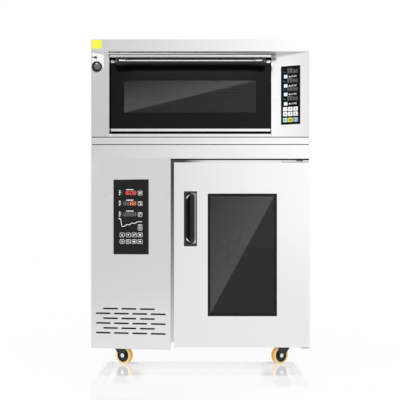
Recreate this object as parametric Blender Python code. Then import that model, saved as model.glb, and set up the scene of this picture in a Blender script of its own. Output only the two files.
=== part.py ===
# Deck oven on a retarder-proofer: a one-deck bakery oven standing on a refrigerated
# proofing cabinet with four casters. Metres, +Z up, the front faces -Y and +X is the right side.
# Shapes are written from the front plane: x to the right, d behind the fascia, z above the floor.

import math

import bmesh
import bpy
from mathutils import Matrix, Vector

# Overall sizes
WIDTH = 1.220
HEIGHT = 1.822
BODY_DEPTH = 0.860
BAY_PROUD = 0.072  # how far the machine bay's cover stands in front of the fascia
REAR_PROUD = 0.040  # how far the steam outlet stands behind the back
SHEET = 0.002
GAP = 0.0003

# Levels
BASE_BOTTOM = 0.128
BASE_TOP = 0.160
SKIRT_BOTTOM = 0.097
PROOFER_TOP = 1.232
OVEN_BOTTOM = 1.236
LEDGE_TOP = 1.275
HEADER_BOTTOM = 1.755

# Proofer: chamber, door and machine bay
LINER = (-0.100, 0.540, 0.190, 1.085)  # left, right, bottom, top of the chamber
LINER_DEPTH = 0.760
FLANGE = (-0.185, 0.6077, 0.127, 1.147)
FLANGE_FRONT = 0.0043
DOOR = (-0.145, 0.602, 0.109, 1.128)
DOOR_FRONT = -0.060
DOOR_BACK = -0.006
DOOR_PIN = (0.583, -0.042)
WINDOW_HOLE = (0.046, 0.416, 0.287, 0.951)
BAY_RIGHT = -0.163
BAY_TOP = 1.1547
VENT_ROWS = 6
VENT_TOP = 0.319
VENT_PITCH = 0.027
VENT_SLOT = (0.0865, 0.009)
BACK_VENT_ROWS = 8
BACK_VENT_PITCH = 0.030
BACK_VENT_SLOT = (0.260, 0.010)
RACK_LEDGES = 8
RACK_PITCH = 0.105
FAN_CENTRE = (0.220, 0.640)
CONDENSER_CENTRE = (-0.390, 0.295)

# Oven: chamber and door
CHAMBER = (-0.485, 0.375, 1.375, 1.645)
CHAMBER_BACK = 0.788
CHAMBER_FLANGE = 0.131
RIM = (-0.514, 0.404, 1.3045, 1.7507)
RIM_FRONT = 0.0803
OVEN_DOOR = (-0.509, 0.399, 1.319, 1.724)
GLASS_FRONT = 0.080
DOOR_AXIS = (0.1025, 1.333)  # d and z of the oven door's hinge shaft
DOOR_MIDDLE = -0.055
OVEN_WINDOW = (-0.435, 0.317, 1.4256, 1.609)
HANDLE_CENTRE = (0.018, 1.7000)
HANDLE_HALF = 0.414
HANDLE_RADIUS = 0.0215
SLEEVE_REACH = 0.356  # how far from the door's middle the handle's end sleeves start
HEATER_LEVELS = {"upper": 1.625, "lower": 1.392}
HEATER_RADIUS = 0.004
HEATER_PASSES = 6
FLUE_CENTRE = (-0.055, 1.600)
FLUE_RADIUS = 0.028
GLAND_CENTRE = (0.520, 1.300)
POST_TILT = math.radians(20)

# Casters: swivel places and the way each one trails at rest
CASTERS = {
    "front_left": (-0.462, 0.075, -30),
    "front_right": (0.481, 0.075, 210),
    "rear_left": (-0.462, 0.785, 20),
    "rear_right": (0.481, 0.785, 160),
}
WHEEL_RADIUS = 0.049
WHEEL_WIDTH = 0.032
WHEEL_STEPS = 24
AXLE_HEIGHT = WHEEL_RADIUS * math.cos(math.pi / WHEEL_STEPS)  # the wheels stand on a facet
TRAIL = 0.037  # from the swivel axis back to the axle

HALF = WIDTH / 2
INSIDE = HALF - SHEET - GAP
FRONT = -(BODY_DEPTH + REAR_PROUD - BAY_PROUD) / 2
BACK_FACE = BODY_DEPTH - SHEET
HOLE_PLAY = GAP
THROUGH = 0.02  # how far a cutter runs past the wall that it cuts

# Base colour, metallic and roughness of each finish
FINISHES = {
    "steel": ((0.62, 0.62, 0.61), 1.0, 0.34),
    "zinc": ((0.52, 0.53, 0.55), 1.0, 0.42),
    "black_steel": ((0.020, 0.020, 0.022), 0.4, 0.45),
    "black_plastic": ((0.015, 0.015, 0.016), 0.0, 0.38),
    "grey_plastic": ((0.34, 0.35, 0.36), 0.0, 0.45),
    "panel": ((0.010, 0.010, 0.011), 0.0, 0.12),
    "smoked_glass": ((0.012, 0.013, 0.014), 0.0, 0.04),
    "clear_glass": ((0.60, 0.64, 0.64), 0.0, 0.04),
    "rubber": ((0.030, 0.030, 0.032), 0.0, 0.75),
    "wool": ((0.56, 0.52, 0.40), 0.0, 0.95),
    "heater": ((0.16, 0.15, 0.15), 0.8, 0.55),
    "tyre": ((0.80, 0.36, 0.10), 0.0, 0.42),
}


def clear_scene():
    for obj in list(bpy.data.objects):
        bpy.data.objects.remove(obj, do_unlink=True)


def empty(name, location, turn=0.0, parent=None):
    obj = bpy.data.objects.new(name, None)
    bpy.context.scene.collection.objects.link(obj)
    obj.empty_display_size = 0.05
    obj.location = location
    obj.rotation_euler = (0.0, 0.0, turn)
    obj.parent = parent
    return obj


def material_for(name, finish):
    colour, metallic, roughness = FINISHES[finish]
    material = bpy.data.materials.new(name + "_" + finish)
    material.use_nodes = True
    material.diffuse_color = (*colour, 1.0)
    shader = material.node_tree.nodes["Principled BSDF"]
    shader.inputs["Base Color"].default_value = (*colour, 1.0)
    shader.inputs["Metallic"].default_value = metallic
    shader.inputs["Roughness"].default_value = roughness
    return material


def node(name, mesh, finish, parent, location=(0.0, 0.0, 0.0)):
    # One sub-part; its mesh is written in the parent's coordinates unless location moves it.
    mesh.name = name
    mesh.materials.clear()
    mesh.materials.append(material_for(name, finish))
    mesh.shade_smooth()
    mesh.set_sharp_from_angle(angle=math.radians(35))
    obj = bpy.data.objects.new(name, mesh)
    bpy.context.scene.collection.objects.link(obj)
    obj.parent = parent
    obj.location = location
    return obj


def mesh_of(points, faces):
    mesh = bpy.data.meshes.new("shape")
    mesh.from_pydata([tuple(point) for point in points], [], faces)
    form = bmesh.new()
    form.from_mesh(mesh)
    bmesh.ops.recalc_face_normals(form, faces=form.faces)
    form.to_mesh(mesh)
    form.free()
    return mesh


def loft(rects, axis="Y", ring=False):
    # Quads between rectangles (left, right, low, high, place along the axis), in order.
    # A ring closes on itself; otherwise the first and the last rectangle are capped.
    points = []
    for u0, u1, v0, v1, w in rects:
        for u, v in ((u0, v0), (u1, v0), (u1, v1), (u0, v1)):
            points.append((u, w, v) if axis == "Y" else (u, v, w))
    count = len(rects)
    faces = []
    for i in range(count if ring else count - 1):
        a, b = 4 * i, 4 * ((i + 1) % count)
        for k in range(4):
            n = (k + 1) % 4
            faces.append((a + k, a + n, b + n, b + k))
    if not ring:
        faces.append((0, 1, 2, 3))
        faces.append(tuple(4 * (count - 1) + k for k in range(4)))
    return mesh_of(points, faces)


def block(x0, x1, d0, d1, z0, z1):
    return loft([(x0, x1, z0, z1, d0), (x0, x1, z0, z1, d1)])


def grown(rect, by):
    return (rect[0] - by, rect[1] + by, rect[2] - by, rect[3] + by)


def placed(axis, u, v, w):
    # A point of an outline (u, v) at w along the axis.
    return {"X": (w, u, v), "Y": (u, w, v), "Z": (u, v, w)}[axis]


def prism(outline, axis, low, high):
    count = len(outline)
    points = [placed(axis, u, v, w) for w in (low, high) for u, v in outline]
    faces = [tuple(range(count)), tuple(range(count, 2 * count))]
    for i in range(count):
        j = (i + 1) % count
        faces.append((i, j, count + j, count + i))
    return mesh_of(points, faces)


def folded(path, side, thickness=SHEET):
    # The outline of a bent sheet: the path is its outer face, and side is +1 for a
    # sheet to the left of the path and -1 for one to the right.
    path = [Vector(point) for point in path]
    normals = []
    for start, end in zip(path, path[1:]):
        along = (end - start).normalized()
        normals.append(Vector((-along.y, along.x)) * side)
    inner = []
    for i, point in enumerate(path):
        before = normals[max(i - 1, 0)]
        after = normals[min(i, len(normals) - 1)]
        inner.append(point + (before + after) / (1 + before.dot(after)) * thickness)
    return [tuple(point) for point in path + inner[::-1]]


def turned(profile, axis, centre, steps=24, ring=False):
    # A profile of (radius, place along the axis) revolved about the axis through centre.
    points = []
    rows = []
    for radius, along in profile:
        row = []
        for step in range(steps if radius > 0 else 1):
            angle = 2 * math.pi * step / steps
            u = centre[0] + radius * math.cos(angle)
            v = centre[1] + radius * math.sin(angle)
            row.append(len(points))
            points.append(placed(axis, u, v, along))
        rows.append(row)
    faces = []
    pairs = list(zip(rows, rows[1:] + rows[:1])) if ring else list(zip(rows, rows[1:]))
    for near, far in pairs:
        for step in range(steps):
            after = (step + 1) % steps
            corners = [near[step % len(near)], near[after % len(near)]]
            corners += [far[after % len(far)], far[step % len(far)]]
            faces.append(tuple(dict.fromkeys(corners)))
    if not ring:
        faces += [tuple(row) for row in (rows[0], rows[-1]) if len(row) > 1]
    return mesh_of(points, faces)


def rod(axis, centre, radius, low, high, steps=24):
    return turned([(radius, low), (radius, high)], axis, centre, steps)


def slot(axis, centre, length, height, low, high, steps=3):
    # A slot with round ends, long along the outline's first direction.
    radius = height / 2
    outline = []
    for side, start in ((1, -90), (-1, 90)):
        for step in range(steps + 1):
            angle = math.radians(start + 180 * step / steps)
            u = centre[0] + side * (length / 2 - radius) + radius * math.cos(angle)
            outline.append((u, centre[1] + radius * math.sin(angle)))
    return prism(outline, axis, low, high)


def arc(centre, radius, start, end, steps):
    points = []
    for step in range(steps + 1):
        angle = math.radians(start + (end - start) * step / steps)
        points.append((centre[0] + radius * math.cos(angle), centre[1] + radius * math.sin(angle)))
    return points


def together(meshes):
    # Separate closed shapes in one mesh, to cut with all of them at once.
    form = bmesh.new()
    for mesh in meshes:
        form.from_mesh(mesh)
    merged = bpy.data.meshes.new("shapes")
    form.to_mesh(merged)
    form.free()
    return merged


def combined(base, others, operation):
    holder = bpy.data.objects.new("holder", base)
    bpy.context.scene.collection.objects.link(holder)
    tools = []
    for mesh in others:
        tool = bpy.data.objects.new("tool", mesh)
        bpy.context.scene.collection.objects.link(tool)
        modifier = holder.modifiers.new("boolean", "BOOLEAN")
        modifier.operation = operation
        modifier.solver = "EXACT"
        modifier.object = tool
        tools.append(tool)
    bpy.context.view_layer.update()
    graph = bpy.context.evaluated_depsgraph_get()
    result = bpy.data.meshes.new_from_object(holder.evaluated_get(graph))
    for obj in [holder] + tools:
        bpy.data.objects.remove(obj, do_unlink=True)
    return result


def joined(base, *others):
    return combined(base, others, "UNION")


def cut(base, *cutters):
    return combined(base, [together(cutters)], "DIFFERENCE")


def moved(mesh, turn, shift):
    mesh.transform(Matrix.Translation(shift) @ Matrix.Rotation(turn, 4, "Z"))
    return mesh


# ---- Proofer cabinet ----


def base_frame(front):
    left, right, low, high = -INSIDE, INSIDE, 0.0066, 0.8577
    wall = 0.0025
    outer = (left, right, low, high)
    inner = grown(outer, -wall)
    tray = loft(
        [
            (*inner, BASE_TOP - wall),
            (*inner, BASE_BOTTOM),
            (*outer, BASE_BOTTOM),
            (*outer, BASE_TOP),
        ],
        "Z",
    )
    pads = []
    half = 0.055
    for x, d, _ in CASTERS.values():
        pads.append(block(x - half, x + half, d - half, d + half, BASE_BOTTOM + 0.0005, 0.1585))
    pads.append(block(0.535, 0.6065, 0.0075, 0.060, BASE_BOTTOM, 0.158))
    return node("base_frame", joined(tray, *pads), "zinc", front)


def side_panel(side, low, high, return_low):
    # Flat sheet with a stiffening return, clear of the front pieces and of the back.
    edges = sorted((side * (HALF - SHEET), side * HALF))
    panel = block(*edges, 0.0, BODY_DEPTH, low, high)
    edges = sorted((side * (HALF - 0.014), side * (HALF - 0.001)))
    return joined(panel, block(*edges, 0.090, 0.850, return_low, return_low + SHEET))


def proofer_side(front, name, side):
    mesh = side_panel(side, SKIRT_BOTTOM, PROOFER_TOP, SKIRT_BOTTOM + 0.001)
    return node(name, mesh, "steel", front)


def proofer_back(front):
    plate = block(-INSIDE, INSIDE, BACK_FACE, BODY_DEPTH, 0.130, PROOFER_TOP - GAP)
    vents = []
    for row in range(BACK_VENT_ROWS):
        centre = (CONDENSER_CENTRE[0], 0.210 + BACK_VENT_PITCH * row)
        ends = (BACK_FACE - THROUGH, BODY_DEPTH + THROUGH)
        vents.append(slot("Y", centre, *BACK_VENT_SLOT, *ends))
    return node("proofer_back", cut(plate, *vents), "steel", front)


def proofer_top_panel(front):
    path = [(0.8577, PROOFER_TOP), (0.0, PROOFER_TOP), (0.0, 1.155)]
    return node("proofer_top_panel", prism(folded(path, 1), "X", -INSIDE, INSIDE), "steel", front)


def bay_turn():
    return -math.atan2(BAY_PROUD, BAY_RIGHT + INSIDE)


def bay_depth(x):
    # d of the bay cover's outer face at x.
    return -BAY_PROUD * (x + INSIDE) / (BAY_RIGHT + INSIDE)


def machine_bay_cover(front):
    # Wedge-shaped cover: the face runs forward from the left edge to the door.
    corner = (-INSIDE, 0.0)
    nose = (BAY_RIGHT, -BAY_PROUD)
    path = [(-INSIDE, 0.0062), corner, nose, (BAY_RIGHT, 0.0040)]
    cover = prism(folded(path, 1), "Z", SKIRT_BOTTOM, BAY_TOP)
    inset = SHEET / 2
    behind = 0.0035
    lid = [(-INSIDE + inset, behind), (-INSIDE + inset, inset)]
    lid += [(BAY_RIGHT - inset, SHEET - BAY_PROUD), (BAY_RIGHT - inset, behind)]
    plates = [prism(lid, "Z", low, low + SHEET) for low in (SKIRT_BOTTOM + 0.001, BAY_TOP - 0.003)]
    cover = joined(cover, *plates)
    rows = {3: (-0.500, -0.3965, -0.293), 4: (-0.5416, -0.4384, -0.3352, -0.232)}
    vents = []
    for row in range(VENT_ROWS):
        z = VENT_TOP - VENT_PITCH * row
        for x in rows[3 + row % 2]:
            hole = slot("Y", (0.0, z), *VENT_SLOT, -THROUGH, THROUGH)
            vents.append(moved(hole, bay_turn(), (x, bay_depth(x), 0.0)))
    return node("machine_bay_cover", cut(cover, *vents), "steel", front)


def bent_box(inner, wall, back, flange, flange_front):
    # A box of sheet open to the front, with a flange round its mouth.
    outer = grown(inner, wall)
    return loft(
        [
            (*inner, back),
            (*inner, flange_front),
            (*flange, flange_front),
            (*flange, flange_front + wall),
            (*outer, flange_front + wall),
            (*outer, back + wall),
        ]
    )


def proofer_liner(front):
    mesh = bent_box(LINER, SHEET, LINER_DEPTH, FLANGE, FLANGE_FRONT)
    return node("proofer_liner", mesh, "steel", front)


def proofer_insulation(front):
    pocket = grown(LINER, SHEET + GAP)
    outer = (-0.165, 0.6057, BASE_TOP + 0.0005, 1.145)
    low = FLANGE_FRONT + SHEET + GAP
    rects = [(*pocket, LINER_DEPTH + SHEET + GAP), (*pocket, low), (*outer, low), (*outer, 0.820)]
    return node("proofer_insulation", loft(rects), "wool", front)


def tray_rack(front, name, side):
    # A sheet with one ledge bent out for each tray, the left one mirrored for the right.
    wall, face, tip = -0.0997, -0.0977, -0.060
    outline = [(wall, 0.200), (face, 0.200)]
    for level in range(RACK_LEDGES):
        z = 0.262 + RACK_PITCH * level
        outline += [(face, z), (tip, z), (tip, z + SHEET), (face, z + SHEET)]
    outline += [(face, 1.060), (wall, 1.060)]
    if side > 0:
        outline = [(LINER[0] + LINER[1] - u, v) for u, v in outline]
    return node(name, prism(outline, "Y", 0.030, 0.680), "steel", front)


def face_plate(half_width, half_height, thickness, bevel=0.0012):
    # A plate lying on a face whose outward side is -Y, with its front edges broken.
    full = (-half_width, half_width, -half_height, half_height)
    return loft(
        [
            (*full, -GAP),
            (*full, -GAP - thickness + bevel),
            (*grown(full, -bevel), -GAP - thickness),
        ]
    )


def proofer_control_panel(bay_face):
    return node("proofer_control_panel", face_plate(0.100, 0.2073, 0.003), "panel", bay_face)


def compressor(front):
    # Hermetic can with a domed top, welded to its foot plate.
    low = BASE_TOP + GAP
    x, d = -0.400, 0.450
    can = turned(
        [(0.0, low + 0.001)]
        + [(0.070, low + 0.001), (0.085, low + 0.025), (0.085, low + 0.100), (0.088, low + 0.104)]
        + [(0.088, low + 0.110), (0.085, low + 0.114), (0.083, low + 0.165), (0.060, low + 0.205)]
        + [(0.0, low + 0.220)],
        "Z",
        (x, d),
        28,
    )
    foot = block(x - 0.105, x + 0.105, d - 0.080, d + 0.080, low, low + 0.004)
    return node("compressor", joined(foot, can), "black_steel", front)


def condenser_coil(front):
    x, z = CONDENSER_CENTRE
    low = BASE_TOP + GAP
    coil = block(x - 0.170, x + 0.170, 0.060, 0.100, 0.175, 0.415)
    feet = [block(x + s * 0.160 - 0.010, x + s * 0.160 + 0.010, 0.062, 0.098, low, 0.180) for s in (-1, 1)]
    fins = []
    for i in range(11):
        place = x - 0.150 + 0.030 * i
        fins.append(block(place - 0.010, place + 0.010, 0.050, 0.068, 0.185, 0.405))
    coil = joined(coil, *feet, rod("Y", (x, z), 0.035, 0.098, 0.150, 20))
    return node("condenser_coil", cut(coil, *fins), "zinc", front)


def air_duct_panel(front):
    outer = (-0.095, 0.535, 0.300, 0.980)
    inner = grown(outer, -SHEET)
    near, far = 0.690, LINER_DEPTH - GAP
    tray = loft([(*inner, near + SHEET), (*inner, far), (*outer, far), (*outer, near)])
    holes = [rod("Y", FAN_CENTRE, 0.100, near - THROUGH, near + THROUGH, 32)]
    for x in (outer[0], outer[1]):
        for row in range(6):
            z = 0.350 + 0.105 * row
            holes.append(block(x - THROUGH, x + THROUGH, 0.706, 0.744, z, z + 0.055))
    return node("air_duct_panel", cut(tray, *holes), "steel", front)


def motor(front):
    far = LINER_DEPTH - GAP
    profile = [(0.0, 0.715), (0.032, 0.715), (0.035, 0.718), (0.035, far - 0.005)]
    profile += [(0.052, far - 0.005), (0.052, far), (0.0, far)]
    return node("circulation_fan_motor", turned(profile, "Y", FAN_CENTRE, 20), "black_steel", front)


def fan_mesh(near, facing, tip_radius, blades=6):
    # A cup that turns over the motor's end, with pitched blades; near is the cup's closed end
    # and facing is +1 where the motor lies behind it and -1 where it lies in front.
    depth = 0.034
    profile = [(0.0, 0.0), (0.037, 0.0), (0.040, 0.003), (0.040, depth), (0.0355, depth)]
    profile += [(0.0355, 0.004), (0.0, 0.004)]
    fan = turned([(r, near + facing * along) for r, along in profile], "Y", (0.0, 0.0), 20)
    middle = near + facing * 0.018
    pitch = math.radians(32)
    wings = []
    for number in range(blades):
        corners = []
        for radius, half in ((0.0385, 0.014), (tip_radius, 0.021)):
            for across, thick in ((-half, -1), (half, -1), (half, 1), (-half, 1)):
                along = across * math.cos(pitch) - thick * 0.0010 * math.sin(pitch)
                up = across * math.sin(pitch) * 0.8 + thick * 0.0010 * math.cos(pitch)
                corners.append((radius, middle + up, along))
        faces = [(0, 1, 2, 3), (4, 5, 6, 7), (0, 1, 5, 4), (1, 2, 6, 5), (2, 3, 7, 6), (3, 0, 4, 7)]
        wing = mesh_of(corners, faces)
        wing.transform(Matrix.Rotation(2 * math.pi * number / blades, 4, "Y"))
        wings.append(wing)
    return joined(fan, *wings)


def fans(front):
    x, z = FAN_CENTRE
    pivot = empty("circulation_fan_axis", (x, 0.0, z), parent=front)
    node("circulation_fan", fan_mesh(0.698, 1, 0.095), "black_plastic", pivot)
    x, z = CONDENSER_CENTRE
    pivot = empty("condenser_fan_axis", (x, 0.0, z), parent=front)
    node("condenser_fan", fan_mesh(0.157, -1, 0.105), "black_plastic", pivot)


def water_pan(front):
    low, high, wall = LINER[2] + GAP, 0.225, 0.0015
    foot = (0.028, 0.412, 0.258, 0.592)
    rim = (0.020, 0.420, 0.250, 0.600)
    mesh = loft(
        [
            (*grown(foot, -wall), low + wall),
            (*grown(rim, -wall - 0.006), high),
            (*rim, high),
            (*rim, high - wall),
            (*grown(rim, -0.006), high - wall),
            (*foot, low),
        ],
        "Z",
    )
    return node("water_pan", mesh, "steel", front)


def hinge_upper(front):
    x, d = DOOR_PIN
    low, high = 1.1305, 1.1345
    plate = block(0.455, 0.600, -0.055, 0.0035, low, high)
    leaf = block(0.457, 0.598, GAP, FLANGE_FRONT - GAP, low + 0.001, 1.1465)
    pin = rod("Z", (x, d), 0.006, 1.100, high - 0.001, 16)
    return node("hinge_upper", joined(plate, leaf, pin), "zinc", front)


def hinge_lower(front):
    x, d = DOOR_PIN
    low, high = 0.1025, 0.1065
    plate = block(0.556, 0.602, -0.060, 0.058, low, high)
    riser = block(0.558, 0.600, 0.010, 0.055, high - 0.001, BASE_BOTTOM - GAP)
    pin = rod("Z", (x, d), 0.006, high - 0.001, 0.137, 16)
    return node("hinge_lower", joined(plate, riser, pin), "zinc", front)


# ---- Oven housing ----


def oven_base_pan(front):
    # One sheet: sill, ledge, front band and floor, standing on two rails.
    sill_front = GLASS_FRONT - SHEET
    path = [(sill_front, 1.304), (sill_front, LEDGE_TOP), (0.0, LEDGE_TOP)]
    path += [(0.0, OVEN_BOTTOM), (0.856, OVEN_BOTTOM)]
    pan = prism(folded(path, 1), "X", -INSIDE, INSIDE)
    rails = []
    for d in (0.030, 0.826):
        rails.append(block(-0.590, 0.590, d, d + 0.004, PROOFER_TOP + GAP, OVEN_BOTTOM + 0.001))
    return node("oven_base_pan", joined(pan, *rails), "steel", front)


def oven_side(front, name, side):
    top = HEADER_BOTTOM - GAP
    mesh = side_panel(side, OVEN_BOTTOM + GAP, top, top - SHEET - 0.001)
    return node(name, mesh, "steel", front)


def oven_back(front):
    top = HEADER_BOTTOM - GAP
    plate = block(-INSIDE, INSIDE, BACK_FACE, BODY_DEPTH, OVEN_BOTTOM + GAP, top)
    near, far = BACK_FACE - THROUGH, BODY_DEPTH + THROUGH
    holes = [rod("Y", FLUE_CENTRE, FLUE_RADIUS + HOLE_PLAY, near, far)]
    holes.append(rod("Y", GLAND_CENTRE, 0.0103, near, far, 16))
    return node("oven_back", cut(plate, *holes), "steel", front)


def oven_top_cover(front):
    # Lid with a flange turned in over the door and a drip lip at the flange's end.
    outer = (-HALF, HALF, 0.0, BODY_DEPTH)
    inner = grown(outer, -SHEET)
    lid = loft(
        [
            (*inner, HEIGHT - SHEET),
            (*inner, HEADER_BOTTOM),
            (*outer, HEADER_BOTTOM),
            (*outer, HEIGHT),
        ],
        "Z",
    )
    flange = block(-0.6090, 0.6090, 0.001, GLASS_FRONT, HEADER_BOTTOM, HEADER_BOTTOM + SHEET)
    lip = block(-0.6070, 0.6070, GLASS_FRONT - SHEET, GLASS_FRONT, 1.7405, HEADER_BOTTOM + 0.001)
    return node("oven_top_cover", joined(lid, flange, lip), "steel", front)


def post_depth(x):
    # d of a front post's slanted face at x.
    return (INSIDE - abs(x)) * math.tan(POST_TILT)


def front_post(side, inner_edge):
    # Folded post: side return, face slanted in towards the door, and inner return.
    path = [(side * INSIDE, 0.060), (side * INSIDE, 0.0)]
    path += [(inner_edge, post_depth(inner_edge)), (inner_edge, GLASS_FRONT - SHEET - GAP)]
    return prism(folded(path, -side), "Z", LEDGE_TOP + GAP, HEADER_BOTTOM - GAP)


def left_front_post(front, switch_face):
    mesh = front_post(-1, RIM[0])
    stem_hole = rod("Y", (0.0, 0.0), 0.0055, -THROUGH, THROUGH, 16)
    stem_hole.transform(switch_face.matrix_basis)
    return node("left_front_post", cut(mesh, stem_hole), "steel", front)


def right_front_post(front):
    return node("right_front_post", front_post(1, RIM[1]), "steel", front)


def heater_holes(radius, near, far):
    d_ends = (heater_depth(0), heater_depth(HEATER_PASSES - 1))
    return [rod("X", (d, z), radius, near, far, 12) for z in HEATER_LEVELS.values() for d in d_ends]


def oven_chamber(front):
    # Box of sheet, a flange for the door's seal and a rim that runs forward round the door.
    inner, outer = CHAMBER, grown(CHAMBER, SHEET)
    rim_outer = grown(RIM, SHEET)
    mesh = loft(
        [
            (*inner, CHAMBER_BACK),
            (*inner, CHAMBER_FLANGE),
            (*RIM, CHAMBER_FLANGE),
            (*RIM, RIM_FRONT),
            (*rim_outer, RIM_FRONT),
            (*rim_outer, CHAMBER_FLANGE + SHEET),
            (*outer, CHAMBER_FLANGE + SHEET),
            (*outer, CHAMBER_BACK + SHEET),
        ]
    )
    holes = heater_holes(0.0055, CHAMBER[1] - THROUGH, CHAMBER[1] + THROUGH)
    holes.append(rod("Y", FLUE_CENTRE, FLUE_RADIUS + HOLE_PLAY, 0.770, 0.810))
    for x in (RIM[0], RIM[1]):
        holes.append(rod("X", DOOR_AXIS, 0.0063, x - THROUGH, x + THROUGH, 16))
    return node("oven_chamber", cut(mesh, *holes), "steel", front)


def oven_insulation(front):
    pocket = grown(CHAMBER, SHEET + GAP)
    outer = (-0.555, 0.435, 1.315, 1.705)
    low, far = CHAMBER_FLANGE + SHEET + 0.0005, 0.845
    mesh = loft([(*pocket, CHAMBER_BACK + SHEET + GAP), (*pocket, low), (*outer, low), (*outer, far)])
    holes = heater_holes(0.0055, 0.370, 0.460)
    holes.append(rod("Y", FLUE_CENTRE, FLUE_RADIUS + HOLE_PLAY, 0.780, 0.870))
    return node("oven_insulation", cut(mesh, *holes), "wool", front)


def hearth_plate(front):
    # Steel baking plate with turned-down edges, on six feet that clear the lower heater.
    low, high, wall = 1.408, 1.423, 0.003
    edge = (CHAMBER[0] + SHEET, CHAMBER[1] - SHEET)
    outer = (*edge, 0.140, 0.780)
    inner = grown(outer, -wall)
    plate = loft([(*inner, high - wall), (*inner, low), (*outer, low), (*outer, high)], "Z")
    feet = []
    for d0, d1 in ((0.142, 0.180), (0.450, 0.490), (0.755, 0.778)):
        for x0, x1 in ((edge[0] + 0.001, edge[0] + 0.019), (edge[1] - 0.019, edge[1] - 0.001)):
            feet.append(block(x0, x1, d0, d1, CHAMBER[2] + 0.0005, high - 0.001))
    return node("hearth_plate", joined(plate, *feet), "steel", front)


def heater_depth(number):
    return 0.200 + 0.108 * number


def heater_path(z):
    # Straight passes across the chamber joined by half rounds, both ends out to the right.
    left, right, bend = -0.396, 0.286, 0.054
    points = [(0.445, heater_depth(0), z)]
    for number in range(HEATER_PASSES - 1):
        edge, side = (left, -1) if number % 2 == 0 else (right, 1)
        middle = heater_depth(number) + bend
        for x, d in arc((0.0, 0.0), bend, -90, 90, 6):
            points.append((edge + side * x, middle + d, z))
    points.append((0.445, heater_depth(HEATER_PASSES - 1), z))
    return points


def heater(front, name, z):
    curve = bpy.data.curves.new(name, "CURVE")
    curve.dimensions = "3D"
    curve.bevel_depth = HEATER_RADIUS
    curve.bevel_resolution = 1
    curve.use_fill_caps = True
    points = heater_path(z)
    spline = curve.splines.new("POLY")
    spline.points.add(len(points) - 1)
    for point, place in zip(spline.points, points):
        point.co = (*place, 1.0)
    curve.materials.append(material_for(name, "heater"))
    obj = bpy.data.objects.new(name, curve)
    bpy.context.scene.collection.objects.link(obj)
    obj.parent = front
    return obj


def oven_lamp(front):
    far = CHAMBER_BACK - GAP
    profile = [(0.0, far), (0.036, far), (0.036, far - 0.006), (0.029, far - 0.007)]
    profile += [(0.024, far - 0.017), (0.012, far - 0.022), (0.0, far - 0.023)]
    return node("oven_lamp", turned(profile, "Y", (0.300, 1.560), 24), "clear_glass", front)


def steam_flue(front):
    near, far = CHAMBER_BACK + 0.0005, BODY_DEPTH + REAR_PROUD
    seat = BODY_DEPTH + GAP
    bore = FLUE_RADIUS - 0.003
    profile = [(bore, near), (FLUE_RADIUS, near), (FLUE_RADIUS, seat), (0.045, seat)]
    profile += [(0.045, seat + 0.003), (FLUE_RADIUS, seat + 0.003), (FLUE_RADIUS, far), (bore, far)]
    return node("steam_flue", turned(profile, "Y", FLUE_CENTRE, 32, True), "steel", front)


def oven_control_panel(post_face):
    return node("oven_control_panel", face_plate(0.055, 0.165, 0.003), "panel", post_face)


def switch_bezel(switch_face):
    profile = [(0.0205, -GAP), (0.029, -GAP), (0.029, -0.010), (0.0265, -0.0150)]
    profile += [(0.0240, -0.0163), (0.0205, -0.0145)]
    mesh = turned(profile, "Y", (0.0, 0.0), 28, True)
    return node("switch_bezel", mesh, "black_plastic", switch_face)


def switch_cap(switch_face):
    # The cap slides in the bezel, and its stem runs through the post.
    profile = [(0.0, 0.014), (0.005, 0.014), (0.005, -0.0065), (0.0195, -0.0065)]
    profile += [(0.0195, -0.0165), (0.0175, -0.0185), (0.0, -0.0190)]
    return node("switch_cap", turned(profile, "Y", (0.0, 0.0), 24), "grey_plastic", switch_face)


def cable_gland(front):
    seat = BODY_DEPTH + GAP
    bore = 0.0075
    profile = [(bore, 0.848), (0.010, 0.848), (0.010, seat), (0.017, seat), (0.017, seat + 0.008)]
    profile += [(0.014, seat + 0.010), (0.013, 0.881), (0.010, 0.885), (bore, 0.885)]
    mesh = turned(profile, "Y", GLAND_CENTRE, 18, True)
    return node("cable_gland", mesh, "black_plastic", front)


# ---- Oven door ----


def oven_door_pan():
    # Channel all round the window, open to the front, with a steel bar above and below the glass.
    outer, window = OVEN_DOOR, OVEN_WINDOW
    near, far = GLASS_FRONT + 0.0063, 0.125
    pan = loft(
        [
            (*outer, near),
            (*outer, far),
            (*window, far),
            (*window, near),
            (*grown(window, SHEET), near),
            (*grown(window, SHEET), far - SHEET),
            (*grown(outer, -SHEET), far - SHEET),
            (*grown(outer, -SHEET), near),
        ],
        ring=True,
    )
    bars = []
    for low, high in ((1.319, 1.334), (1.709, 1.724)):
        bars.append(block(outer[0], outer[1], GLASS_FRONT, near + 0.0012, low, high))
    holes = [rod("X", DOOR_AXIS, 0.0063, x - THROUGH, x + THROUGH, 16) for x in outer[:2]]
    return cut(joined(pan, *bars), *holes)


def plate_ring(outer, inner, near, far):
    return loft([(*outer, near), (*outer, far), (*inner, far), (*inner, near)], ring=True)


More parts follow.
